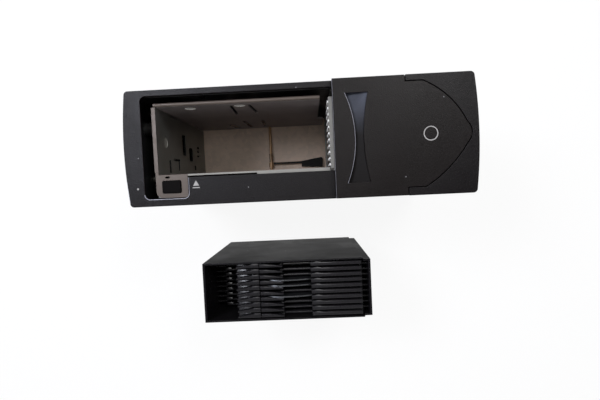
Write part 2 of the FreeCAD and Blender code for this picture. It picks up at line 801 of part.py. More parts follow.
# ---- Inner chassis and magazine bay ----
def make_bay_side_plate():
    low_x = bay_left - plate
    sheet = box(low_x, bay_left, base_top, bay_top, bay_back, chassis_front - plate)
    flange = box(bay_left - side_flange_width, bay_left, tab_top + sheet_gap, bay_top - shutter_gap,
                 chassis_front - plate, chassis_front)
    for low_y, high_y, low_z, high_z, radius in side_cuts:
        sheet = sheet.cut(panel("x", low_y, high_y, low_z, high_z, radius, low_x, bay_left))
    half_slit = latch_thickness / 2 + shutter_gap
    sheet = sheet.cut(box(low_x, bay_left, latch_low - mech_gap, latch_low + latch_tall + mech_gap,
                          latch_z - half_slit, latch_z + half_slit))
    sheet = sheet.cut(disc("x", *side_dimple, dimple_radius, bay_left - dimple_depth, bay_left))
    lug_z = latch_z + latch_thickness / 2 + shutter_gap
    lug = box(latch_pivot_x - 3, low_x, latch_pivot_y - 3, latch_pivot_y + 3, lug_z, lug_z + plate)
    pin = disc("z", latch_pivot_x, latch_pivot_y, shaft_radius, latch_z - latch_thickness, lug_z)
    hooks = [disc("x", spring_bottom() - 1, z, 1, left_spring_x() - 3, low_x) for z in spring_places()]
    return joined([sheet, flange, lug, pin] + hooks)


def make_bay_top_plate():
    top = bay_top + plate
    sheet = box(bay_left - plate, bay_right, bay_top, top, bay_back, chassis_front - plate)

    cuts = [slot("y", *ends, radius, bay_top, top) for *ends, radius in top_slots]
    for cut in cuts:
        sheet = sheet.cut(cut)
    sheet = sheet.cut(box(hem_right, bay_right, bay_top, top, ceiling_cut_rear, chassis_front - plate))
    for x, z in top_dimples:
        sheet = sheet.cut(disc("y", x, z, dimple_radius, bay_top, bay_top + dimple_depth))
    middle = bay_top + hem_height / 2
    hem = slot("x", middle, chassis_front - hem_height / 2, middle, chassis_front - 2 * hem_height,
               hem_height / 2, tab_left + 0.9, hem_right)
    return joined([sheet, hem])


def make_bay_floor_plate():
    low = bay_bottom - plate
    sheet = box(bay_left, bay_right, low, bay_bottom, bay_back, chassis_front - plate)
    front = chassis_front - plate
    narrow = box(tab_right + sheet_gap, flange_step_x, bay_bottom - flange_narrow, bay_bottom, front,
                 chassis_front)
    full = box(flange_step_x, bay_right, bay_bottom - flange_height, bay_bottom, front, chassis_front)
    return joined([sheet, narrow, full])


def make_eject_bracket():
    sheet = prism("z", [(tab_left, tab_bottom, tab_corner), (tab_right, tab_bottom), (tab_right, bay_bottom),
                        (bay_left, bay_bottom), (bay_left, tab_top), (tab_left, tab_top)],
                  chassis_front - plate, chassis_front)
    w, h = button_width / 2 + button_gap, button_height / 2 + button_gap
    hole = panel("z", button_x - w, button_x + w, button_y - h, button_y + h, button_corner,
                 chassis_front - plate, chassis_front)
    notch = slot("z", button_x - 4, bay_bottom - 2, button_x - 2, bay_bottom - 2, 0.8,
                 chassis_front - plate, chassis_front)
    return sheet.cut(hole).cut(notch)


def divider_left():
    return bay_right + strip_width + mech_gap


def make_bay_divider():
    left = divider_left()
    right = left + plate
    front = chassis_front - plate
    sheet = box(left, right, base_top, bay_top + plate, bay_back, front)
    window = panel("x", bay_bottom + 0.6, bay_top - 0.6, magazine_stop + magazine_lever_space,
                   comb_spine_low(), 2, left, right)
    rack_way = box(left, right, base_top, cam_low() + cam_sheet + 3 * mech_gap,
                   rack_z - rack_width - 2 * mech_gap, rack_z + 3 * gear_module)
    strip = box(bay_right + 0.5, right, bay_bottom - 0.7, bay_top + plate, front, chassis_front)
    return joined([sheet.cut(window).cut(rack_way), strip])


def comb_spine_low():
    """Just in front of the trays' path out of the inserted magazine."""
    return spindle_z + tray_width / 2 + shutter_gap


def make_tray_comb():
    right = divider_left()
    low_z = comb_spine_low()
    spine = box(right - comb_spine_width, right, bay_bottom + comb_end_gap, bay_top - comb_end_gap,
                low_z, chassis_front - plate)
    teeth = []
    for i in range(tray_count + 1):
        y = level_low + (i - 0.5) * tray_pitch
        teeth.append(box(bay_right - comb_reach, right, y - comb_tooth / 2, y + comb_tooth / 2,
                         low_z - comb_tooth_length, low_z + comb_tooth))
    return joined([spine] + teeth)


def make_chassis_back_plate():
    sheet = box(bay_left - plate, chassis_right, base_top, chassis_top, bay_back - plate, bay_back)
    low, high = deck_bottom, deck_bottom + lift_travel
    way = slot("z", cam_pin_x, low, cam_pin_x, high + deck_thickness, pin_radius + cam_slot_gap,
               bay_back - plate, bay_back)
    lug_left = bay_left + back_lug_start
    lug_top = bay_top - back_lug_drop
    lug = box(lug_left, lug_left + back_lug_width, lug_top - back_lug_height, lug_top, bay_back,
              bay_back + back_lug_depth)
    return joined([sheet.cut(way), lug])


def make_chassis_base_plate():
    sheet = box(bay_left - plate, chassis_right, chassis_bottom, base_top, bay_back - plate,
                chassis_front - plate)
    studs = [disc("y", lift_gear_x, lift_gear_z(), gear_stud_radius, base_top,
                  gear_low() + gear_thickness + 1)]
    for x in (board_left + 4, board_right - 4):
        for z in (board_rear + 4, board_front - 4):
            studs.append(disc("y", x, z, 2.5, base_top, base_top + board_standoff))
    return joined([sheet] + studs)


def make_mech_cover():
    roof = box(divider_left(), chassis_right, chassis_top - plate, chassis_top, bay_back, chassis_front - plate)
    wall = box(chassis_right - plate, chassis_right, base_top, chassis_top, bay_back, chassis_front - plate)
    hooks = [disc("x", spring_bottom() - 1, z, 1, chassis_right, right_spring_x() + 3)
             for z in spring_places()]
    return joined([roof, wall] + hooks)


def make_mech_front_plate():
    front = chassis_front - plate
    sheet = box(divider_left() + plate + sheet_gap, chassis_right, base_top, chassis_top, front, chassis_front)
    return sheet.cut(slot("z", cam_pin_x, deck_bottom, cam_pin_x,
                          deck_bottom + lift_travel + deck_thickness, pin_radius + cam_slot_gap,
                          front, chassis_front))


# ---- Eject button, ejector and latch ----
def button_back():
    return chassis_front - plate - button_skirt


def make_eject_button():
    w, h = button_width / 2, button_height / 2
    cap = panel("z", button_x - w, button_x + w, button_y - h, button_y + h, button_corner,
                chassis_front - plate - button_skirt / 2, chassis_front + button_proud)
    skirt = panel("z", button_x - w - 1, button_x + w + 1, button_y - h - 1, button_y + h + 1,
                  button_corner, button_back(), chassis_front - plate - 0.1)
    return joined([cap, skirt])


def switch_front():
    return button_back() - spring_turns * button_travel * 0.8


def make_eject_spring():
    length = button_back() - switch_front() - spring_wire
    return coil(spring_radius, spring_wire, length, spring_turns,
                V(button_x, button_y, switch_front() + spring_wire / 2), V(0, 0, 1))


def make_eject_switch():
    w = button_width / 2
    return box(button_x - w, button_x + w, base_top, bay_bottom - plate - mech_gap,
               switch_front() - switch_depth, switch_front())


def ejector_z():
    return bay_back + (magazine_stop - bay_back) / 2


def make_ejector_shaft():
    return disc("y", ejector_x, ejector_z(), shaft_radius, bay_bottom, bay_top)


def make_ejector_lever():
    low, high = ejector_arm_low, ejector_arm_low + ejector_arm_tall
    back, front = ejector_z() - ejector_thickness / 2, ejector_z() + ejector_thickness / 2
    start, end = ejector_x + ejector_block_start, ejector_x + ejector_reach
    hub = disc("y", ejector_x, ejector_z(), hub_radius, low - hub_radius, high)
    arm = box(ejector_x, start, low, high, back, front)
    block = prism("z", [(start, ejector_block_left[0]), (end, ejector_block_right[0], 1),
                        (end, ejector_block_right[1], 2), (start, ejector_block_left[1])], back, front)
    bore = disc("y", ejector_x, ejector_z(), shaft_radius + running_gap, low - hub_radius, high)
    return joined([hub, arm, block]).cut(bore)


def make_ejector_spring():
    start = ejector_arm_low + ejector_arm_tall + 3 * running_gap + spring_wire / 2
    return coil(shaft_radius + spring_wire + 0.2, spring_wire, torsion_length, torsion_turns,
                V(ejector_x, start, ejector_z()), V(0, 1, 0))


def make_magazine_latch():
    low, high = latch_z - latch_thickness / 2, latch_z + latch_thickness / 2
    boss = disc("z", latch_pivot_x, latch_pivot_y, hub_radius + 1, low, high)
    top = latch_low + latch_tall - latch_thickness
    blade = prism("z", [(latch_pivot_x - 2, latch_pivot_y), (latch_pivot_x - 2, latch_low, 2),
                        (bay_left - 0.3, latch_low), (bay_left - 0.3, top),
                        (latch_pivot_x + 2, latch_pivot_y)], low, high)
    bore = disc("z", latch_pivot_x, latch_pivot_y, shaft_radius + running_gap, low, high)
    return joined([boss, blade]).cut(bore)


# ---- Lift ----
def cam_low():
    return base_top + 0.9


def lift_gear_z():
    return rack_z + gear_module * lift_gear_teeth / 2


def gear_low():
    return cam_low() + cam_sheet / 2 - gear_thickness / 2


def make_cam_slide():
    left = cam_pin_x - cam_shift - cam_margin
    right = cam_pin_x + cam_margin
    high = deck_bottom + lift_travel + cam_margin / 2
    low = cam_low()
    pin_y = deck_bottom + deck_thickness / 2
    uprights = []
    for z in (cam_rear, cam_front):
        sheet = box(left, right, low, high, z, z + cam_sheet)
        uprights.append(sheet.cut(slot("z", cam_pin_x, pin_y, cam_pin_x - cam_shift, pin_y + lift_travel,
                                       pin_radius + cam_slot_gap, z, z + cam_sheet)))
    base = box(left, left + 2.5 * cam_margin, low, low + cam_sheet, cam_rear, cam_front + cam_sheet)
    rack_back = rack_z - rack_width
    bar = box(rack_left, left, low, low + cam_sheet, rack_back, rack_z - 1.2 * gear_module)
    pitch = math.pi * gear_module
    first = lift_gear_x - math.floor((lift_gear_x - rack_left) / pitch - 0.5) * pitch
    count = math.floor((left - first) / pitch)
    teeth = rack_teeth(gear_module, count, first, rack_z, low, low + cam_sheet)
    return joined(uprights + [base, bar] + teeth)


def make_lift_gear():
    phase = -math.pi / 2 + math.pi / lift_gear_teeth
    return gear(gear_module, lift_gear_teeth, lift_gear_x, lift_gear_z(), gear_low(),
                gear_low() + gear_thickness, gear_stud_radius + running_gap, phase)


def pinion_z():
    return lift_gear_z() + gear_module * (lift_gear_teeth + lift_pinion_teeth) / 2


def lift_motor_low():
    return bay_bottom - plate - lift_motor_height


def make_lift_pinion():
    wheel = gear(gear_module, lift_pinion_teeth, lift_gear_x, pinion_z(), gear_low(),
                 gear_low() + gear_thickness, motor_shaft_radius / 2, -math.pi / 2)
    shaft = disc("y", lift_gear_x, pinion_z(), motor_shaft_radius, gear_low(),
                 lift_motor_low() + lift_motor_height / 2)
    return joined([wheel, shaft])


def make_lift_motor():
    top = bay_bottom - plate
    can = disc("y", lift_gear_x, pinion_z(), lift_motor_radius, lift_motor_low(), top)
    return can.cut(disc("y", lift_gear_x, pinion_z(), motor_shaft_radius + motor_shaft_gap,
                        lift_motor_low(), lift_motor_low() + lift_motor_height / 2 + mech_gap))


def post_places():
    return [(post_x, deck_rear + post_inset), (post_x, deck_front - post_inset)]


def make_guide_posts():
    return group([disc("y", x, z, post_radius, base_top, chassis_top - plate) for x, z in post_places()])


def arm_pivot_y():
    return arm_low() - arm_pivot_drop


def arm_low():
    return clamp_low() + clamp_thickness + 0.4


def clamp_low():
    return seat_y + disc_thickness + clamp_drop


def rod_rise():
    return deck_top + sled_rod_rise


def make_elevator_deck():
    sheet = box(deck_left, deck_right, deck_bottom, deck_top, deck_rear, deck_front)
    pin_y = deck_bottom + deck_thickness / 2
    pieces = [sheet,
              disc("z", cam_pin_x, pin_y, pin_radius, deck_front - 4, chassis_front - 0.4),
              disc("z", cam_pin_x, pin_y, pin_radius, bay_back - plate + 0.4, deck_rear + 4)]
    for x, z in post_places():
        pieces.append(disc("y", x, z, bushing_radius - 1.4, deck_top, deck_top + bushing_height))
    for side in (-1, 1):
        near = spindle_z + side * arm_ear_half_span - 0.6
        far = near + 1.2
        pieces.append(box(arm_pivot_x - 2.6, arm_pivot_x + 2.4, deck_top, arm_pivot_y() + 2.6, near, far))
        z = spindle_z + side * sled_rod_offset
        for x in (spindle_x + 8, deck_right - 3):
            pieces.append(box(x, x + 2.5, deck_top, rod_rise() + 2.4, z - 2.4, z + 2.4))
    for x in (deck_left, deck_right - 3):
        pieces.append(box(x, x + 2.5, deck_top, rod_rise() + 1.2 + 0.4, loader_z - 2.4, loader_z + 2.4))
    body = joined(pieces)
    for x, z in post_places():
        body = body.cut(disc("y", x, z, post_radius + post_gap, deck_bottom, deck_top + bushing_height))
    for rod in deck_rod_solids(shaft_radius + 0.02):
        body = body.cut(rod)
    return body


def deck_rod_solids(radius):
    rods = []
    for side in (-1, 1):
        rods.append(disc("x", rod_rise(), spindle_z + side * sled_rod_offset, radius, spindle_x + 8,
                         deck_right - 0.5))
    rods.append(disc("x", rod_rise(), loader_z, radius - 0.5, deck_left, deck_right - 0.5))
    rods.append(disc("z", arm_pivot_x, arm_pivot_y(), radius, spindle_z - arm_ear_half_span - 0.6,
                     spindle_z + arm_ear_half_span + 0.6))
    return rods


def make_deck_rods():
    return group(deck_rod_solids(shaft_radius))


def make_spindle_motor():
    can = disc("y", spindle_x, spindle_z, motor_radius, deck_top, deck_top + motor_height)
    return can.cut(disc("y", spindle_x, spindle_z, motor_shaft_radius + motor_shaft_gap, deck_top + 2,
                        deck_top + motor_height))


def make_turntable():
    table = disc("y", spindle_x, spindle_z, turntable_radius, seat_y - turntable_thickness, seat_y)
    boss = disc("y", spindle_x, spindle_z, turntable_boss_radius, seat_y, seat_y + turntable_boss_height)
    shaft = disc("y", spindle_x, spindle_z, motor_shaft_radius, deck_top + 2.5, seat_y)
    return joined([table, boss, shaft])


def make_clamp_arm():
    low, high = arm_low(), arm_low() + arm_thickness
    half = arm_width / 2
    reach = arm_ear_half_span - 1.2
    blade = prism("y", [(spindle_x - half, spindle_z - half, 6), (arm_pivot_x, spindle_z - half),
                        (arm_pivot_x, spindle_z + half), (spindle_x - half, spindle_z + half, 6)], low, high)
    bar = box(arm_pivot_x - 6, arm_pivot_x + 2.2, low, high, spindle_z - reach, spindle_z + reach)
    pieces = [blade, bar]
    for side in (-1, 1):
        near, far = sorted((spindle_z + side * reach, spindle_z + side * (reach - arm_thickness)))
        pieces.append(box(arm_pivot_x - 2.4, arm_pivot_x + 2.2, arm_pivot_y() - 2.4, low, near, far))
    body = joined(pieces)
    body = body.cut(disc("z", arm_pivot_x, arm_pivot_y(), shaft_radius + running_gap, spindle_z - reach,
                         spindle_z + reach))
    return body.cut(disc("y", spindle_x, spindle_z, clamp_neck_radius + clamp_neck_gap, low, high))


def make_disc_clamp():
    low = clamp_low()
    top = low + clamp_thickness
    puck = disc("y", spindle_x, spindle_z, clamp_radius, low, top)
    puck = puck.cut(disc("y", spindle_x, spindle_z, turntable_boss_radius + 0.8, low, low + 1.4))
    neck_top = arm_low() + arm_thickness + 0.3
    neck = disc("y", spindle_x, spindle_z, clamp_neck_radius, top, neck_top)
    cap = disc("y", spindle_x, spindle_z, clamp_neck_radius + 1.5, neck_top, neck_top + 0.6)
    return joined([puck, neck, cap])


def make_optical_pickup():
    x = spindle_x + sled_start
    low = deck_top + 1.0
    body = box(x - pickup_half_length, x + pickup_half_length, low, low + pickup_height,
               spindle_z - pickup_half_width, spindle_z + pickup_half_width)
    for side in (-1, 1):
        body = body.cut(disc("x", rod_rise(), spindle_z + side * sled_rod_offset, shaft_radius + running_gap,
                             x - pickup_half_length, x + pickup_half_length))
    return body


def make_pickup_lens():
    low = deck_top + 1.0 + pickup_height
    return disc("y", spindle_x + sled_start, spindle_z, lens_radius, low, low + lens_height)


def make_load_slider():
    x0 = deck_left + 4
    low = deck_top + 1.0
    block = box(x0, x0 + loader_length, low, low + loader_height + 1.0, loader_z - loader_width / 2,
                loader_z + loader_width / 2)
    arm_low_y = rod_rise() + 2.0
    arm = box(x0 - loader_reach, x0 + loader_length, arm_low_y, arm_low_y + 1.4, loader_z - 3, loader_z + 3)
    hook_top = level_low - tray_thickness / 2 - 0.5
    hook = box(x0 - loader_reach, x0 - loader_reach + 2, arm_low_y, hook_top, loader_z - 3, loader_z + 3)
    body = joined([block, arm, hook])
    return body.cut(disc("x", rod_rise(), loader_z, shaft_radius - 0.5 + running_gap, x0, x0 + loader_length))


# ---- Electronics ----
def board_top():
    return base_top + board_standoff + board_thickness


def make_main_board():
    return box(board_left, board_right, base_top + board_standoff, board_top(), board_rear, board_front)


def make_board_parts():
    top = board_top()
    solids = []
    for x, z, width, depth, height in board_chips:
        left, rear = board_left + x, board_rear + z
        solids.append(box(left, left + width, top, top + height, rear, rear + depth))
    for x, z, radius, height in board_cans:
        solids.append(disc("y", board_left + x, board_rear + z, radius, top, top + height))
    return group(solids)


def make_din_socket():
    back = rear_flange + 4.0
    shell = tube("z", socket_x, socket_y, socket_radius, socket_radius - socket_wall, 0.2, back)
    flange = tube("z", socket_x, socket_y, socket_radius + 4, socket_radius - socket_wall, case_sheet,
                  case_sheet + 1.2)
    insert = disc("z", socket_x, socket_y, socket_radius - socket_wall, socket_insert_depth, back)
    for i in range(socket_pins):
        turn = 2 * math.pi * (i + 0.5) / socket_pins
        insert = insert.cut(disc("z", socket_x + 4.8 * math.cos(turn), socket_y + 4.8 * math.sin(turn),
                                 socket_pin_radius, socket_insert_depth, socket_insert_depth + 4))
    return group([joined([shell, flange]), insert])


# ---- Magazine ----
def magazine_left():
    return magazine_x - magazine_length / 2


def magazine_right():
    return magazine_x + magazine_length / 2


def tray_left():
    return magazine_left() + magazine_end_wall + magazine_lever_space


def tray_front():
    return magazine_depth - tray_end_gap


def tray_level(number):
    return magazine_y + (number - (tray_count + 1) / 2) * tray_pitch


def tray_lip(left, low, back, front):
    """The bars along a tray's front edge: a pointed hook, a bar that slopes down to the finger recess
    and a bar with a bump beside it."""
    high = low + tray_thickness
    bump = high + tray_bump_height
    tip = low + tray_tip_thickness
    hook_left = left + tray_corner_width
    hook_right = hook_left + tray_hook_width
    hook = [(hook_left, low), (hook_right, low), (hook_right, bump), (hook_right - tray_bump_width, bump),
            (hook_right - tray_bump_width - tray_bump_height, high), (hook_left, tip)]
    bar_left = hook_right + tray_hook_gap
    recess_left = left + tray_recess_start
    sloping = [(bar_left, low), (recess_left, low), (recess_left, tip), (bar_left + tray_bump_slope, high),
               (bar_left, high)]
    recess_right = recess_left + tray_recess_width
    bar_right = left + tray_width - tray_lip_inset
    peak = recess_right + tray_bump_width
    bumped = [(recess_right, low), (bar_right, low), (bar_right, high), (peak + tray_bump_slope, high),
              (peak, bump), (recess_right, high)]
    return [prism("z", bar, back, front) for bar in (hook, sloping, bumped)]


def make_tray(number):
    left, right = tray_left(), tray_left() + tray_width
    front, rear = tray_front(), tray_front() - tray_depth
    back = front - tray_lip_depth
    centre_x, centre_z = left + tray_width / 2, front - tray_rim - disc_diameter / 2
    hook_left = left + tray_corner_width
    hook_right = hook_left + tray_hook_width
    bar_left = hook_right + tray_hook_gap
    recess_left = left + tray_recess_start
    recess_right = recess_left + tray_recess_width
    low = tray_level(number) - tray_thickness / 2
    high = low + tray_thickness
    plate_outline = [
        (left, rear, 2), (right, rear, 2), (right, back, 2), (recess_right, back),
        (recess_right, front - tray_recess_depth, tray_inner_corner),
        (recess_left, front - tray_recess_depth, tray_inner_corner),
        (recess_left, back), (bar_left, back), (bar_left, front - tray_hook_length),
        (hook_right, front - tray_hook_length), (hook_right, back), (hook_left, back),
        (hook_left, front - tray_corner_depth, tray_inner_corner), (left, front - tray_corner_depth, 2)]
    body = joined([prism("y", plate_outline, low, high)] + tray_lip(left, low, back, front))
    pocket = disc("y", centre_x, centre_z, disc_diameter / 2 + pocket_gap, high - tray_pocket_depth,
                  high + tray_bump_height)
    window = slot("y", centre_x, centre_z, centre_x, centre_z + tray_window_reach, tray_window_radius,
                  low, high)
    return body.cut(pocket).cut(window)


def magazine_shell():
    x0, x1 = magazine_left(), magazine_right()
    y0, y1 = magazine_y - magazine_height / 2, magazine_y + magazine_height / 2
    depth, face, end = magazine_depth, magazine_face_wall, magazine_end_wall
    shell = box(x0, x1, y0, y1, 0, depth)
    shell = shell.cut(box(x0 + end, x1 - magazine_handle_length, y0 + face, y1 - face,
                          magazine_back_wall, depth))
    step = magazine_handle_step
    shell = shell.cut(box(x1 - magazine_handle_length, x1 - end, y0 + face + step, y1 - face - step,
                          magazine_back_wall, depth))
    handle = x1 - magazine_handle_length
    shell = shell.cut(box(handle, x1, y1 - step, y1, 0, depth))
    shell = shell.cut(box(handle, x1, y0, y0 + step, 0, depth))
    latch_x = x1 - (magazine_front - latch_z)
    notch = box(latch_x - latch_thickness, latch_x + latch_thickness, magazine_y + latch_low - bay_rise - 2,
                magazine_y + latch_low - bay_rise + latch_tall, 0, magazine_back_wall / 2)
    return shell.cut(notch)


def magazine_ribs():
    ribs = []
    x0, x1 = magazine_left() + magazine_end_wall, magazine_right() - magazine_end_wall
    front = magazine_depth - tray_corner_depth - 2
    for number in range(1, tray_count):
        y = tray_level(number) + tray_pitch / 2
        low, high = y - rib_thickness / 2, y + rib_thickness / 2
        ribs.append(box(x0, x0 + magazine_lever_space + rib_hold, low, high, magazine_back_wall, front))
        ribs.append(box(x1 - magazine_tab_space - rib_hold, x1, low, high, magazine_back_wall,
                        magazine_depth - 8))
    return ribs


def make_magazine_half(side):
    """side 1 is the upper case (+Y), side -1 the lower case, which also holds the middle ribs."""
    reach = magazine_height
    low, high = sorted((magazine_y, magazine_y + side * reach))
    shell = magazine_shell().common(box(-case_width, case_width, low, high, -1, magazine_depth + 1))
    middle = rib_thickness
    if side == 1:
        mine = [rib for rib in magazine_ribs() if rib.BoundBox.YMin > magazine_y]
    else:
        mine = [rib for rib in magazine_ribs() if rib.BoundBox.YMax < magazine_y + middle]
    return joined([shell] + mine)


# ---- Export ----
def node_shapes():
    nodes = {
        "front_bezel": make_front_bezel(),
        "end_cap": make_end_cap(),
        "sliding_door": make_sliding_door(),
        "dust_shutter": make_dust_shutter(),
        "shutter_rails": make_shutter_rails(),
        "top_cover": make_top_cover(),
        "bottom_cover": make_bottom_cover(),
        "rear_panel": make_rear_panel(),
        "case_screws": make_case_screws(),
        "side_mount_nuts": make_side_mount_nuts(),
        "suspension_dial_left": make_suspension_dial(-1),
        "suspension_dial_right": make_suspension_dial(1),
        "suspension_dampers": make_suspension_dampers(),
        "suspension_springs": make_suspension_springs(),
        "bay_side_plate": make_bay_side_plate(),
        "bay_top_plate": make_bay_top_plate(),
        "bay_floor_plate": make_bay_floor_plate(),
        "eject_bracket": make_eject_bracket(),
        "bay_divider": make_bay_divider(),
        "chassis_back_plate": make_chassis_back_plate(),
        "chassis_base_plate": make_chassis_base_plate(),
        "mech_cover": make_mech_cover(),
        "mech_front_plate": make_mech_front_plate(),
        "tray_comb": make_tray_comb(),
        "eject_button": make_eject_button(),
        "eject_spring": make_eject_spring(),
        "eject_switch": make_eject_switch(),
        "ejector_shaft": make_ejector_shaft(),
        "ejector_lever": make_ejector_lever(),
        "ejector_spring": make_ejector_spring(),
        "magazine_latch": make_magazine_latch(),
        "cam_slide": make_cam_slide(),
        "elevator_deck": make_elevator_deck(),
        "guide_posts": make_guide_posts(),
        "lift_gear": make_lift_gear(),
        "lift_pinion": make_lift_pinion(),
        "lift_motor": make_lift_motor(),
        "spindle_motor": make_spindle_motor(),
        "turntable": make_turntable(),
        "clamp_arm": make_clamp_arm(),
        "disc_clamp": make_disc_clamp(),
        "deck_rods": make_deck_rods(),
        "optical_pickup": make_optical_pickup(),
        "pickup_lens": make_pickup_lens(),
        "load_slider": make_load_slider(),
        "main_board": make_main_board(),
        "board_parts": make_board_parts(),
        "din_socket": make_din_socket(),
        "magazine_upper_case": make_magazine_half(1),
        "magazine_lower_case": make_magazine_half(-1),
    }
    for number in range(1, tray_count + 1):
        nodes[f"tray_{number:02d}"] = make_tray(number)
    return nodes


os.makedirs("parts", exist_ok=True)
for name, shape in node_shapes().items():
    shape.exportStep(f"parts/{name}.step")
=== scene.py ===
"""Dresses a trunk-mounted car disc changer and its loose ten-disc magazine.

The unit stands on its back: +X is its right, +Y its top side and +Z points out of its front.
Every operator makes one piece, or one group of like pieces, and finishes it.
"""

import json
import math

import bmesh
import bpy
from bpy.props import (
    FloatProperty,
    FloatVectorProperty,
    IntProperty,
    PointerProperty,
)
from mathutils import Matrix, Vector


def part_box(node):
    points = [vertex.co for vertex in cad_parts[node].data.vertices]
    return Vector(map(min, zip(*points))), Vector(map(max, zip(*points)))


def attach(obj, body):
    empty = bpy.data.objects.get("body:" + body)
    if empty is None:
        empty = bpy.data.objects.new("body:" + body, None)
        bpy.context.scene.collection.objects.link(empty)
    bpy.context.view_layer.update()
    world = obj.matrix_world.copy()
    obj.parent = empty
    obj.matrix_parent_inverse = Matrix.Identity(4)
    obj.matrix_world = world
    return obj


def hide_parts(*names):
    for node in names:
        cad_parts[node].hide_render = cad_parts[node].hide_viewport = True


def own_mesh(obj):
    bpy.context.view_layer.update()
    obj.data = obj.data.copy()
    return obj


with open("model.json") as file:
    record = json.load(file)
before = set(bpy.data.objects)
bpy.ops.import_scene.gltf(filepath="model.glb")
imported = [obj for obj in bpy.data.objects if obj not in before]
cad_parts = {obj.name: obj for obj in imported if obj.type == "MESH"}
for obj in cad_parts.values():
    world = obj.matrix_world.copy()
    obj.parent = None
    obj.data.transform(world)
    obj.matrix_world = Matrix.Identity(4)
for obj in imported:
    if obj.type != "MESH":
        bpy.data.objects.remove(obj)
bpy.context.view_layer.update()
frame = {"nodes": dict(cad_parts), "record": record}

bl_info = {
    "name": "Disc changer",
    "version": (1, 0, 0),
    "blender": (4, 5, 0),
    "location": "View3D > Sidebar > Disc changer",
    "description": "Dresses a ten-disc changer and its magazine",
    "category": "Object",
}

MM = 0.001
FINISHES = {}

# Edges that turn by more than this are rounded, and faces that meet at less are shaded as one.
SHARP_ANGLE = math.radians(32.0)
SMOOTH_ANGLE = math.radians(28.0)
SPRING_SMOOTH_ANGLE = math.radians(40.0)
MERGE_DISTANCE = 0.004 * MM
FLAT_ANGLE = math.radians(0.6)

# The disc standard, and how a disc lies in its tray, in millimetres.
LOADED_TRAYS = ("tray_04", "tray_06", "tray_07")
DISC_RADIUS = 60.0
DISC_THICKNESS = 1.2
DISC_SIDES = 96
HOLE_RADIUS = 7.5
DISC_EDGE = 2.5
POCKET_FLOOR = 1.25


# ---------------------------------------------------------------- sizes and colours


def length(name, text, default):
    """A length that a user may change, given in millimetres."""
    return FloatProperty(
        name=name, description=text, default=default * MM, min=0.0, unit="LENGTH"
    )


def colour(name, text, default):
    """A colour that a user may change, in linear red, green and blue."""
    return FloatVectorProperty(
        name=name,
        description=text,
        default=default,
        size=3,
        min=0.0,
        max=1.0,
        subtype="COLOR",
    )


class ChangerSizes(bpy.types.PropertyGroup):
    """Sizes of the shaping that the pieces get on top of their frame."""

    front_edge: length("Front edge", "Rounding of the moulded front's edges", 0.55)
    cover_edge: length("Cover edge", "Rounding of the folded steel covers", 0.45)
    sheet_edge: length("Sheet edge", "Rounding of the stamped inner plates", 0.14)
    small_edge: length("Small edge", "Rounding of small moulded parts", 0.3)
    magazine_edge: length("Magazine edge", "Rounding of the magazine's edges", 0.4)
    tray_edge: length("Tray edge", "Rounding of the trays' edges", 0.2)
    mark_height: length("Mark height", "How far the printed marks stand proud", 0.12)
    edge_steps: IntProperty(
        name="Edge steps",
        description="Facets across a rounded edge",
        default=3,
        min=1,
        max=6,
    )


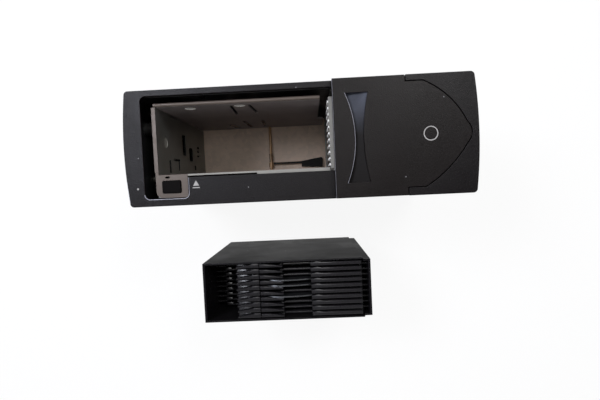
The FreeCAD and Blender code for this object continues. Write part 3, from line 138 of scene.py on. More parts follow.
class ChangerColours(bpy.types.PropertyGroup):
    """Colours of the finishes."""

    case_plastic: colour("Front", "Moulded front", (0.0022, 0.0013, 0.0018))
    door_plastic: colour("Door", "Sliding door", (0.0027, 0.0014, 0.0014))
    case_paint: colour("Case paint", "Painted steel covers", (0.018, 0.018, 0.019))
    inner_black: colour("Shutter", "Inner shutter and rails", (0.010, 0.010, 0.011))
    zinc_sheet: colour("Zinc sheet", "Galvanised inner plates", (0.24, 0.245, 0.235))
    # Painted light: a lighter, warmer copy of the zinc for the bay's back wall.
    zinc_warm: colour("Warm zinc", "Back wall of the bay", (0.70, 0.55, 0.44))
    # Painted shade: a copy of the zinc for the bay's ceiling, which lies in shade.
    zinc_dull: colour("Dull zinc", "Ceiling of the bay", (0.34, 0.30, 0.30))
    # Painted highlight: a lighter, bluish colour on rounded edges, with a smoother finish.
    rubbed_edge: colour("Rubbed edge", "Edges polished by use", (0.24, 0.24, 0.28))
    cream_sheet: colour("Cream sheet", "Passivated inner plates", (0.112, 0.088, 0.073))
    # Pale sheet of the divider strip and the floor's lip; on the wall's dimple it is a painted
    # highlight.
    pale_sheet: colour("Pale sheet", "Strip and dimples", (0.30, 0.29, 0.265))
    comb_white: colour("Comb", "White tray comb", (0.80, 0.79, 0.76))
    lever_black: colour("Levers", "Moulded levers", (0.005, 0.005, 0.005))
    button_black: colour("Button", "Eject button", (0.0034, 0.0028, 0.0028))
    # The rods' brown, lighter colour is a painted warm reflection.
    rod_steel: colour("Rods", "Drawn steel rods", (0.42, 0.25, 0.13))
    spring_steel: colour("Springs", "Spring wire", (0.35, 0.34, 0.33))
    motor_steel: colour("Motors", "Plated motor cans", (0.50, 0.50, 0.49))
    zinc_screw: colour("Screws", "Plated screws and nuts", (0.45, 0.43, 0.38))
    socket_metal: colour("Socket", "Data socket shell", (0.55, 0.54, 0.52))
    board_green: colour("Board", "Circuit board", (0.012, 0.085, 0.040))
    part_black: colour("Parts", "Moulded chips", (0.012, 0.012, 0.013))
    gear_white: colour("Gears", "Natural gear plastic", (0.74, 0.72, 0.66))
    dial_grey: colour("Dials", "Suspension dials", (0.16, 0.16, 0.165))
    magazine_black: colour("Magazine", "Magazine case", (0.0060, 0.0054, 0.0064))
    tray_black: colour("Trays", "Disc trays", (0.0120, 0.0112, 0.0125))
    damper_rubber: colour("Dampers", "Damper rubber", (0.020, 0.019, 0.019))
    clamp_black: colour("Clamp", "Turntable and clamp", (0.013, 0.013, 0.014))
    pickup_black: colour("Pickup", "Pickup sled", (0.015, 0.015, 0.016))
    lens_glass: colour("Lens", "Pickup lens", (0.55, 0.62, 0.70))
    mark_paint: colour("Mark", "Printed marks", (0.34, 0.33, 0.32))
    disc_silver: colour("Disc", "Mirrored disc", (0.34, 0.35, 0.37))
    # Matt broad faces of the magazine, whose darker colour is painted shade.
    magazine_matt: colour("Magazine face", "Magazine's broad faces", (0.0042, 0.0038, 0.0042))


def sizes():
    return bpy.context.scene.changer_sizes


def colours():
    return bpy.context.scene.changer_colours


# ---------------------------------------------------------------- shader groups


class Group:
    """A node group under construction: its tree, its input node and its output node."""

    def __init__(self, name, inputs, outputs):
        self.tree = bpy.data.node_groups.new(name, "ShaderNodeTree")
        for label, kind, default in inputs:
            made = self.tree.interface.new_socket(
                name=label, in_out="INPUT", socket_type=kind
            )
            made.default_value = default
        for label, kind in outputs:
            self.tree.interface.new_socket(
                name=label, in_out="OUTPUT", socket_type=kind
            )
        self.entry = self.tree.nodes.new("NodeGroupInput")
        self.exit = self.tree.nodes.new("NodeGroupOutput")
        place = self.tree.nodes.new("ShaderNodeTexCoord")
        self.place = place.outputs["Object"]

    def add(self, kind, **settings):
        return add_node(self.tree, kind, **settings)

    def join(self, start, end):
        self.tree.links.new(start, end)


def add_node(tree, kind, **settings):
    """Adds a node. A setting is one of the node's own, or the value of the input it names."""
    node = tree.nodes.new(kind)
    for label, value in settings.items():
        plain = label.replace("_", " ")
        if hasattr(node, label) and label not in ("color", "location"):
            setattr(node, label, value)
        elif plain in node.inputs:
            node.inputs[plain].default_value = value
        else:
            raise ValueError(f"{kind} has no setting {label}")
    return node


def ramp(tree, source, stops):
    """Sends a value through a ramp of (position, grey) stops."""
    node = tree.nodes.new("ShaderNodeValToRGB")
    while len(node.color_ramp.elements) < len(stops):
        node.color_ramp.elements.new(0.5)
    for element, (position, grey) in zip(node.color_ramp.elements, stops):
        element.position = position
        element.color = (grey, grey, grey, 1.0)
    tree.links.new(source, node.inputs["Fac"])
    return node.outputs["Color"]


def moulded_grain():
    """Fine spark-eroded texture of moulded plastic."""
    g = Group(
        "moulded grain",
        [("Scale", "NodeSocketFloat", 1800.0)],
        [("Height", "NodeSocketFloat"), ("Mask", "NodeSocketFloat")],
    )
    fine = g.add("ShaderNodeTexNoise", Detail=3.0, Roughness=0.6)
    cells = g.add("ShaderNodeTexVoronoi", feature="SMOOTH_F1", Smoothness=0.6)
    blend = g.add("ShaderNodeMath", operation="MULTIPLY_ADD")
    blend.inputs[1].default_value = 0.6
    g.join(g.place, fine.inputs["Vector"])
    g.join(g.place, cells.inputs["Vector"])
    g.join(g.entry.outputs["Scale"], fine.inputs["Scale"])
    g.join(g.entry.outputs["Scale"], cells.inputs["Scale"])
    g.join(cells.outputs["Distance"], blend.inputs[0])
    g.join(fine.outputs["Fac"], blend.inputs[2])
    g.join(blend.outputs["Value"], g.exit.inputs["Height"])
    g.join(
        ramp(g.tree, fine.outputs["Fac"], [(0.35, 0.0), (0.65, 1.0)]),
        g.exit.inputs["Mask"],
    )
    return g.tree


def handling_smudge():
    """Broad soft patches where a surface was handled or wiped."""
    g = Group(
        "handling smudge",
        [("Scale", "NodeSocketFloat", 22.0)],
        [("Mask", "NodeSocketFloat")],
    )
    broad = g.add("ShaderNodeTexNoise", Detail=5.0, Roughness=0.55, Distortion=0.6)
    g.join(g.place, broad.inputs["Vector"])
    g.join(g.entry.outputs["Scale"], broad.inputs["Scale"])
    g.join(
        ramp(g.tree, broad.outputs["Fac"], [(0.36, 0.0), (0.66, 1.0)]),
        g.exit.inputs["Mask"],
    )
    return g.tree


def dust_specks():
    """Scattered pale specks of dust."""
    g = Group(
        "dust specks",
        [("Scale", "NodeSocketFloat", 160.0), ("Amount", "NodeSocketFloat", 0.3)],
        [("Mask", "NodeSocketFloat")],
    )
    cells = g.add("ShaderNodeTexVoronoi", feature="F1", Randomness=1.0)
    dot = g.add("ShaderNodeMath", operation="LESS_THAN")
    dot.inputs[1].default_value = 0.10
    chosen = g.add("ShaderNodeMath", operation="LESS_THAN")
    both = g.add("ShaderNodeMath", operation="MULTIPLY")
    split = g.add("ShaderNodeSeparateColor")
    g.join(g.place, cells.inputs["Vector"])
    g.join(g.entry.outputs["Scale"], cells.inputs["Scale"])
    g.join(cells.outputs["Distance"], dot.inputs[0])
    g.join(cells.outputs["Color"], split.inputs["Color"])
    g.join(split.outputs["Red"], chosen.inputs[0])
    g.join(g.entry.outputs["Amount"], chosen.inputs[1])
    g.join(dot.outputs["Value"], both.inputs[0])
    g.join(chosen.outputs["Value"], both.inputs[1])
    g.join(both.outputs["Value"], g.exit.inputs["Mask"])
    return g.tree


def rolled_streaks():
    """Long faint streaks left by rolling, drawing or brushing, along one axis."""
    g = Group(
        "rolled streaks",
        [
            ("Stretch", "NodeSocketVector", (1.0, 1.0, 1.0)),
            ("Scale", "NodeSocketFloat", 60.0),
        ],
        [("Height", "NodeSocketFloat"), ("Mask", "NodeSocketFloat")],
    )
    squeeze = g.add("ShaderNodeVectorMath", operation="MULTIPLY")
    streak = g.add("ShaderNodeTexNoise", Detail=6.0, Roughness=0.7)
    g.join(g.place, squeeze.inputs[0])
    g.join(g.entry.outputs["Stretch"], squeeze.inputs[1])
    g.join(squeeze.outputs["Vector"], streak.inputs["Vector"])
    g.join(g.entry.outputs["Scale"], streak.inputs["Scale"])
    g.join(streak.outputs["Fac"], g.exit.inputs["Height"])
    g.join(
        ramp(g.tree, streak.outputs["Fac"], [(0.38, 0.0), (0.62, 1.0)]),
        g.exit.inputs["Mask"],
    )
    return g.tree


def zinc_spangle():
    """Crystal patches of hot-dip zinc."""
    g = Group(
        "zinc spangle",
        [("Scale", "NodeSocketFloat", 260.0)],
        [("Mask", "NodeSocketFloat"), ("Height", "NodeSocketFloat")],
    )
    warp = g.add("ShaderNodeTexNoise", Scale=90.0, Detail=2.0)
    shift = g.add("ShaderNodeVectorMath", operation="MULTIPLY_ADD")
    shift.inputs[1].default_value = (0.006, 0.006, 0.006)
    crystal = g.add("ShaderNodeTexVoronoi", feature="F1", Randomness=1.0)
    split = g.add("ShaderNodeSeparateColor")
    g.join(g.place, warp.inputs["Vector"])
    g.join(warp.outputs["Color"], shift.inputs[0])
    g.join(g.place, shift.inputs[2])
    g.join(shift.outputs["Vector"], crystal.inputs["Vector"])
    g.join(g.entry.outputs["Scale"], crystal.inputs["Scale"])
    g.join(crystal.outputs["Color"], split.inputs["Color"])
    g.join(split.outputs["Green"], g.exit.inputs["Mask"])
    g.join(crystal.outputs["Distance"], g.exit.inputs["Height"])
    return g.tree


def build_groups():
    return {
        "grain": moulded_grain(),
        "smudge": handling_smudge(),
        "dust": dust_specks(),
        "streaks": rolled_streaks(),
        "spangle": zinc_spangle(),
    }


# ---------------------------------------------------------------- finishes

PALE_DUST = (0.30, 0.30, 0.31)
DULL_DUST = (0.10, 0.10, 0.10)
COVERED_COPPER = (0.03, 0.22, 0.10)
LENS_BLOOM = (0.45, 0.40, 0.62)
AGED_RUBBER = (0.05, 0.05, 0.048)
# Colour of the painted sheen on the grip.
PAINTED_GRIP_SHEEN = (0.085, 0.094, 0.125)

# Heights on the door between which the painted sheen on the grip grows lighter.
SHEEN_START, SHEEN_END = 2.0 * MM, 34.0 * MM

# How far streaks are drawn out: the smaller a number, the longer they are along that axis.
EVEN = (1.0, 1.0, 1.0)
ALONG_SHEET = (0.12, 1.0, 1.0)
ALONG_ROD = (1.0, 0.06, 1.0)
ALONG_CAN = (1.0, 0.1, 1.0)


class Finish:
    """A material with one Principled shader, to which effects are added one after another."""

    def __init__(self, name, base, roughness, metallic=0.0):
        self.material = bpy.data.materials.new(name)
        self.material.use_nodes = True
        self.tree = self.material.node_tree
        self.shader = self.tree.nodes["Principled BSDF"]
        self.shader.inputs["Metallic"].default_value = metallic
        self.colour = add_node(self.tree, "ShaderNodeRGB").outputs[0]
        self.colour.default_value = (*base, 1.0)
        self.base = Vector(base)
        self.roughness = roughness
        self.height = None
        self.rough_masks = []

    def effect(self, groups, name, **values):
        """Places one of the shared effects in this material, with its own values."""
        node = self.tree.nodes.new("ShaderNodeGroup")
        node.node_tree = groups[name]
        for label, value in values.items():
            node.inputs[label].default_value = value
        return node

    def tint(self, mask, other, strength=1.0):
        """Mixes another colour in where the mask is white."""
        mix = add_node(self.tree, "ShaderNodeMix", data_type="RGBA")
        fade = add_node(self.tree, "ShaderNodeMath", operation="MULTIPLY")
        fade.inputs[1].default_value = strength
        self.tree.links.new(mask, fade.inputs[0])
        self.tree.links.new(fade.outputs[0], mix.inputs["Factor"])
        self.tree.links.new(self.colour, mix.inputs[6])
        mix.inputs[7].default_value = (*other, 1.0)
        self.colour = mix.outputs[2]

    def shade(self, mask, factor, strength=1.0):
        """Makes the plain colour darker or lighter where the mask is white."""
        self.tint(mask, tuple(self.base * factor), strength)

    def vary_roughness(self, mask, low, high):
        """Roughness runs from low where the mask is black to high where it is white."""
        span = add_node(self.tree, "ShaderNodeMapRange")
        span.inputs["To Min"].default_value = low
        span.inputs["To Max"].default_value = high
        self.tree.links.new(mask, span.inputs["Value"])
        self.rough_masks.append(span.outputs["Result"])

    def raise_height(self, height, distance, strength=1.0):
        """Adds a bump on top of the ones already there, so that each keeps its own depth."""
        bump = add_node(self.tree, "ShaderNodeBump")
        bump.inputs["Distance"].default_value = distance
        bump.inputs["Strength"].default_value = strength
        self.tree.links.new(height, bump.inputs["Height"])
        if self.height:
            self.tree.links.new(self.height, bump.inputs["Normal"])
        self.height = bump.outputs["Normal"]

    def done(self):
        """Joins what was gathered to the shader, and gives the finished material."""
        sockets = self.shader.inputs
        self.tree.links.new(self.colour, sockets["Base Color"])
        sockets["Roughness"].default_value = self.roughness
        if self.rough_masks:
            total = self.rough_masks[0]
            for other in self.rough_masks[1:]:
                mean = add_node(self.tree, "ShaderNodeMath", operation="ADD")
                self.tree.links.new(total, mean.inputs[0])
                self.tree.links.new(other, mean.inputs[1])
                total = mean.outputs[0]
            self.tree.links.new(total, sockets["Roughness"])
        if self.height:
            self.tree.links.new(self.height, sockets["Normal"])
        return self.material


def moulded(groups, name, base, rough, grain, depth, dust=0.0, sheen=0.3):
    """Moulded plastic: spark-eroded grain, broad smudges and, if asked for, dust."""
    f = Finish(name, base, rough)
    f.shader.inputs["Specular IOR Level"].default_value = sheen
    texture = f.effect(groups, "grain", Scale=grain)
    smudge = f.effect(groups, "smudge", Scale=24.0)
    f.shade(texture.outputs["Mask"], factor=2.1, strength=0.8)
    f.shade(smudge.outputs["Mask"], factor=1.25, strength=0.5)
    f.vary_roughness(smudge.outputs["Mask"], rough - 0.04, rough + 0.06)
    f.raise_height(texture.outputs["Height"], depth)
    if dust:
        specks = f.effect(groups, "dust", Scale=210.0, Amount=dust)
        f.tint(specks.outputs["Mask"], PALE_DUST, strength=0.7)
    return f.done()


def painted(groups, name, base, rough):
    """Baked paint on sheet steel, with a slight orange peel and rubbed patches."""
    f = Finish(name, base, rough)
    f.shader.inputs["Specular IOR Level"].default_value = 0.4
    peel = f.effect(groups, "grain", Scale=700.0)
    smudge = f.effect(groups, "smudge", Scale=14.0)
    specks = f.effect(groups, "dust", Scale=120.0, Amount=0.06)
    f.shade(smudge.outputs["Mask"], factor=1.5, strength=0.5)
    f.tint(specks.outputs["Mask"], DULL_DUST, strength=0.6)
    f.vary_roughness(smudge.outputs["Mask"], rough - 0.05, rough + 0.07)
    f.raise_height(peel.outputs["Height"], 0.04 * MM)
    return f.done()


def rolled(groups, name, base, rough, metallic, stretch=EVEN, spangle=0.0, streak=0.5):
    """Rolled sheet or drawn wire: streaks along one way, and spangle on zinc."""
    f = Finish(name, base, rough, metallic)
    streaks = f.effect(groups, "streaks", Stretch=stretch, Scale=55.0)
    smudge = f.effect(groups, "smudge", Scale=30.0)
    f.shade(streaks.outputs["Mask"], factor=0.72, strength=streak)
    f.shade(smudge.outputs["Mask"], factor=0.60, strength=0.4)
    if spangle:
        crystal = f.effect(groups, "spangle", Scale=230.0)
        f.shade(crystal.outputs["Mask"], factor=1.35, strength=spangle)
        f.vary_roughness(crystal.outputs["Mask"], rough - 0.08, rough + 0.08)
    else:
        f.vary_roughness(smudge.outputs["Mask"], rough - 0.06, rough + 0.08)
    f.raise_height(streaks.outputs["Height"], 0.03 * MM)
    return f.done()


def board_finish(groups, name, base):
    """Solder mask with copper tracks showing through as lighter bands."""
    f = Finish(name, base, 0.32)
    tracks = add_node(
        f.tree, "ShaderNodeTexBrick", Scale=90.0, Mortar_Size=0.035, Brick_Width=1.4
    )
    place = f.tree.nodes.new("ShaderNodeTexCoord")
    f.tree.links.new(place.outputs["Object"], tracks.inputs["Vector"])
    smudge = f.effect(groups, "smudge", Scale=30.0)
    f.tint(tracks.outputs["Fac"], COVERED_COPPER, strength=0.8)
    f.shade(smudge.outputs["Mask"], factor=0.8, strength=0.5)
    f.vary_roughness(smudge.outputs["Mask"], 0.26, 0.40)
    f.raise_height(tracks.outputs["Fac"], 0.05 * MM)
    return f.done()


def glass_finish(groups, name, base):
    """Coated lens glass with a violet bloom."""
    f = Finish(name, base, 0.06)
    f.shader.inputs["Transmission Weight"].default_value = 0.6
    f.shader.inputs["Coat Weight"].default_value = 0.8
    smudge = f.effect(groups, "smudge", Scale=180.0)
    f.tint(smudge.outputs["Mask"], LENS_BLOOM, strength=0.6)
    f.vary_roughness(smudge.outputs["Mask"], 0.04, 0.10)
    return f.done()


def rubber_finish(groups, name, base):
    """Soft rubber, paler where it has aged."""
    f = Finish(name, base, 0.75)
    texture = f.effect(groups, "grain", Scale=900.0)
    smudge = f.effect(groups, "smudge", Scale=60.0)
    f.tint(smudge.outputs["Mask"], AGED_RUBBER, strength=0.6)
    f.vary_roughness(smudge.outputs["Mask"], 0.66, 0.85)
    f.raise_height(texture.outputs["Height"], 0.05 * MM)
    return f.done()


def painted_grip_sheen_finish(groups, name, base):
    """The grip, with a painted sheen that grows lighter towards its upper end."""
    f = Finish(name, base, 0.42)
    f.shader.inputs["Specular IOR Level"].default_value = 0.14
    place = f.tree.nodes.new("ShaderNodeTexCoord")
    split = add_node(f.tree, "ShaderNodeSeparateXYZ")
    span = add_node(f.tree, "ShaderNodeMapRange")
    span.inputs["From Min"].default_value = SHEEN_START
    span.inputs["From Max"].default_value = SHEEN_END
    smudge = f.effect(groups, "smudge", Scale=60.0)
    f.tree.links.new(place.outputs["Object"], split.inputs["Vector"])
    f.tree.links.new(split.outputs["Y"], span.inputs["Value"])
    # Painted sheen: the grip gets lighter towards its upper end.
    f.tint(span.outputs["Result"], PAINTED_GRIP_SHEEN, strength=0.9)
    f.shade(smudge.outputs["Mask"], factor=0.7, strength=0.4)
    f.vary_roughness(smudge.outputs["Mask"], 0.38, 0.50)
    return f.done()


# How the finishes of each kind differ. Grain is in cells to the metre and depth in metres.
MOULDED = {
    "case_plastic": dict(rough=0.38, grain=1700.0, depth=0.11 * MM, dust=0.10, sheen=0.21),
    "door_plastic": dict(rough=0.38, grain=1700.0, depth=0.09 * MM, dust=0.04, sheen=0.20),
    "inner_black": dict(rough=0.38, grain=900.0, depth=0.02 * MM),
    "comb_white": dict(rough=0.60, grain=1200.0, depth=0.01 * MM, sheen=0.10),
    "lever_black": dict(rough=0.42, grain=1100.0, depth=0.02 * MM, sheen=0.08),
    "button_black": dict(rough=0.46, grain=1300.0, depth=0.03 * MM, sheen=0.03),
    "part_black": dict(rough=0.44, grain=1600.0, depth=0.02 * MM),
    "gear_white": dict(rough=0.38, grain=1200.0, depth=0.01 * MM, sheen=0.50),
    "dial_grey": dict(rough=0.45, grain=1300.0, depth=0.04 * MM),
    "magazine_black": dict(rough=0.30, grain=1300.0, depth=0.02 * MM, dust=0.03, sheen=0.16),
    # Matt broad faces, darker as painted shade.
    "magazine_matt": dict(rough=0.52, grain=1300.0, depth=0.02 * MM, dust=0.03, sheen=0.08),
    "tray_black": dict(rough=0.20, grain=1400.0, depth=0.01 * MM, dust=0.02, sheen=0.50),
    "clamp_black": dict(rough=0.34, grain=1400.0, depth=0.02 * MM),
    "pickup_black": dict(rough=0.36, grain=1400.0, depth=0.02 * MM),
    # Painted highlight on rounded edges.
    "rubbed_edge": dict(rough=0.30, grain=1500.0, depth=0.01 * MM, sheen=0.50),
}
ROLLED = {
    "zinc_sheet": dict(rough=0.42, metallic=0.75, stretch=ALONG_SHEET, spangle=0.45),
    # The back wall's zinc is a lighter copy, painted light; the ceiling's zinc is a copy
    # painted as shade.
    "zinc_warm": dict(rough=0.60, metallic=0.0, stretch=ALONG_SHEET, spangle=0.25),
    "zinc_dull": dict(rough=0.60, metallic=0.2, stretch=ALONG_SHEET, spangle=0.30),
    "cream_sheet": dict(
        rough=0.46, metallic=0.25, stretch=ALONG_SHEET, spangle=0.12, streak=0.35
    ),
    # Pale sheet, also used as a painted highlight on dimples.
    "pale_sheet": dict(
        rough=0.50, metallic=0.15, stretch=ALONG_SHEET, spangle=0.12, streak=0.35
    ),
    # The rods' brown is a painted warm reflection.
    "rod_steel": dict(rough=0.34, metallic=0.35, stretch=ALONG_ROD, streak=0.4),
    "motor_steel": dict(rough=0.26, metallic=1.0, stretch=ALONG_CAN, streak=0.4),
    "spring_steel": dict(rough=0.28, metallic=1.0, streak=0.3),
    "zinc_screw": dict(rough=0.32, metallic=1.0, streak=0.4),
    "socket_metal": dict(rough=0.28, metallic=1.0, streak=0.3),
    "disc_silver": dict(rough=0.24, metallic=1.0, streak=0.1),
}
PAINTED = {"case_paint": dict(rough=0.46), "mark_paint": dict(rough=0.50)}


def build_finishes():
    """One material for each finish slot of the part, and for the places with painted
    highlights and painted shade.
    """
    groups = build_groups()
    kinds = (
        (moulded, MOULDED),
        (rolled, ROLLED),
        (painted, PAINTED),
        (board_finish, {"board_green": {}}),
        (rubber_finish, {"damper_rubber": {}}),
        (glass_finish, {"lens_glass": {}}),
    )
    for finish, slots in kinds:
        for slot, values in slots.items():
            FINISHES[slot] = finish(groups, slot, getattr(colours(), slot), **values)
    FINISHES["grip_sheen"] = painted_grip_sheen_finish(groups, "grip_sheen", colours().door_plastic)


def node_slots():
    """Which finish slot each frame node has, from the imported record."""
    return {part["node"]: part["material_slot"] for part in frame["record"]["subparts"]}


# ---------------------------------------------------------------- modelling helpers


def free_selection():
    """Leaves edit mode and deselects everything."""
    if bpy.context.object and bpy.context.object.mode != "OBJECT":
        bpy.ops.object.mode_set(mode="OBJECT")
    bpy.ops.object.select_all(action="DESELECT")


def hold(piece):
    """Makes one object the only selected and active one."""
    free_selection()
    piece.select_set(True)
    bpy.context.view_layer.objects.active = piece
    return piece


def settle(piece):
    """Puts the object at the origin, unturned and unscaled, with its place in its mesh."""
    hold(piece)
    bpy.ops.object.transform_apply(location=True, rotation=True, scale=True)
    return piece


def open_ring(piece, axis, width):
    """Turns a round bar into a ring of a given width, by opening its two ends."""
    hold(piece)
    bpy.ops.object.mode_set(mode="EDIT")
    mesh = bmesh.from_edit_mesh(piece.data)
    bpy.ops.mesh.select_mode(type="FACE")
    bpy.ops.mesh.select_all(action="DESELECT")
    for face in mesh.faces:
        face.select = abs(getattr(face.normal, axis)) > 0.9
    mesh.select_flush_mode()
    bmesh.update_edit_mesh(piece.data)
    bpy.ops.mesh.inset(thickness=width * MM, depth=0.0)
    bpy.ops.mesh.bridge_edge_loops()
    bpy.ops.object.mode_set(mode="OBJECT")


def block(name, low, high):
    """A block between two corners in millimetres, open for shaping."""
    free_selection()
    low, high = Vector(low) * MM, Vector(high) * MM
    bpy.ops.mesh.primitive_cube_add(size=1.0, location=(low + high) / 2)
    piece = bpy.context.object
    piece.name = name
    piece.scale = high - low
    return settle(piece)


def drum(name, centre, radius, depth, sides, axis="z"):
    """A round bar in millimetres, centred at a point, along Y or Z."""
    free_selection()
    turn = {"y": (math.pi / 2, 0.0, 0.0), "z": (0.0, 0.0, 0.0)}[axis]
    bpy.ops.mesh.primitive_cylinder_add(
        vertices=sides,
        radius=radius * MM,
        depth=depth * MM,
        location=Vector(centre) * MM,
        rotation=turn,
    )
    piece = bpy.context.object
    piece.name = name
    return settle(piece)


def soften(piece, width, steps=None, flat=True):
    """Rounds the edges. Broad faces are shaded flat, except where curves should shine."""
    hold(piece)
    bevel = piece.modifiers.new("rounded edges", "BEVEL")
    bevel.width = width
    bevel.segments = steps or sizes().edge_steps
    bevel.limit_method = "ANGLE"
    bevel.angle_limit = SHARP_ANGLE
    bevel.harden_normals = False
    bpy.ops.object.modifier_apply(modifier=bevel.name)
    bpy.ops.object.shade_smooth_by_angle(angle=SMOOTH_ANGLE)
    if flat:
        weigh = piece.modifiers.new("flat faces", "WEIGHTED_NORMAL")
        weigh.mode = "FACE_AREA"
        weigh.keep_sharp = True
        bpy.ops.object.modifier_apply(modifier=weigh.name)
    return piece


def twin(piece, name):
    """A second object with its own mesh."""
    copy = bpy.data.objects.new(name, piece.data.copy())
    bpy.context.scene.collection.objects.link(copy)
    return copy


def recast(node, name):
    """A merged copy of a frame node, with whole faces in place of loose triangles."""
    free_selection()
    piece = twin(frame["nodes"][node], name)
    hold(piece)
    bpy.ops.object.mode_set(mode="EDIT")
    bpy.ops.mesh.select_all(action="SELECT")
    bpy.ops.mesh.remove_doubles(threshold=MERGE_DISTANCE)
    bpy.ops.mesh.dissolve_limited(
        angle_limit=FLAT_ANGLE, delimit={"NORMAL"}, use_dissolve_boundaries=False
    )
    bpy.ops.object.mode_set(mode="OBJECT")
    if piece.data.has_custom_normals:
        bpy.ops.mesh.customdata_custom_splitnormals_clear()
    return piece


def dress(piece, finish, body):
    """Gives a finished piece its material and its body."""
    piece.data.materials.clear()
    piece.data.materials.append(FINISHES[finish])
    for face in piece.data.polygons:
        face.material_index = 0
    settle(piece)
    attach(piece, body)
    free_selection()
    return piece


def body_holding(node):
    """The body that carries a frame node."""
    groups = frame["record"]["behaviour"]["bodies"]
    for body, members in groups.items():
        if node in members:
            return body
    raise ValueError(f"no body carries {node}")


def second_finish(piece, finish, test):
    """Gives the faces whose middle and direction pass the test another material."""
    piece.data.materials.append(FINISHES[finish])
    index = len(piece.data.materials) - 1
    for face in piece.data.polygons:
        if test(face.center, face.normal):
            face.material_index = index
    return piece


def rounded_stand_in(node, finish, width, steps=None):
    """Replaces a frame node by a copy of itself with rounded edges."""
    piece = recast(node, f"{node}_shaped")
    soften(piece, width, steps)
    dress(piece, finish, body_holding(node))
    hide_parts(node)
    return piece


def is_rounding(normal):
    """True for the narrow faces of a rounded edge, which face neither along nor across."""
    return 0.15 < abs(normal.z) < 0.985


# ---------------------------------------------------------------- operators


class Maker(bpy.types.Operator):
    """What every operator of the changer shares."""

    bl_idname = "changer.maker"
    bl_label = "Maker"
    bl_options = {"REGISTER", "UNDO"}

    def execute(self, context):
        self.make()
        return {"FINISHED"}


class CHANGER_OT_finishes(Maker):
    """Builds the finishes and gives every frame node its own"""

    bl_idname = "changer.finishes"
    bl_label = "Finishes"

    def make(self):
        build_finishes()
        for name, slot in node_slots().items():
            node = frame["nodes"][name]
            if not node.material_slots:
                node.data.materials.append(FINISHES[slot])
            for place in node.material_slots:
                place.material = FINISHES[slot]


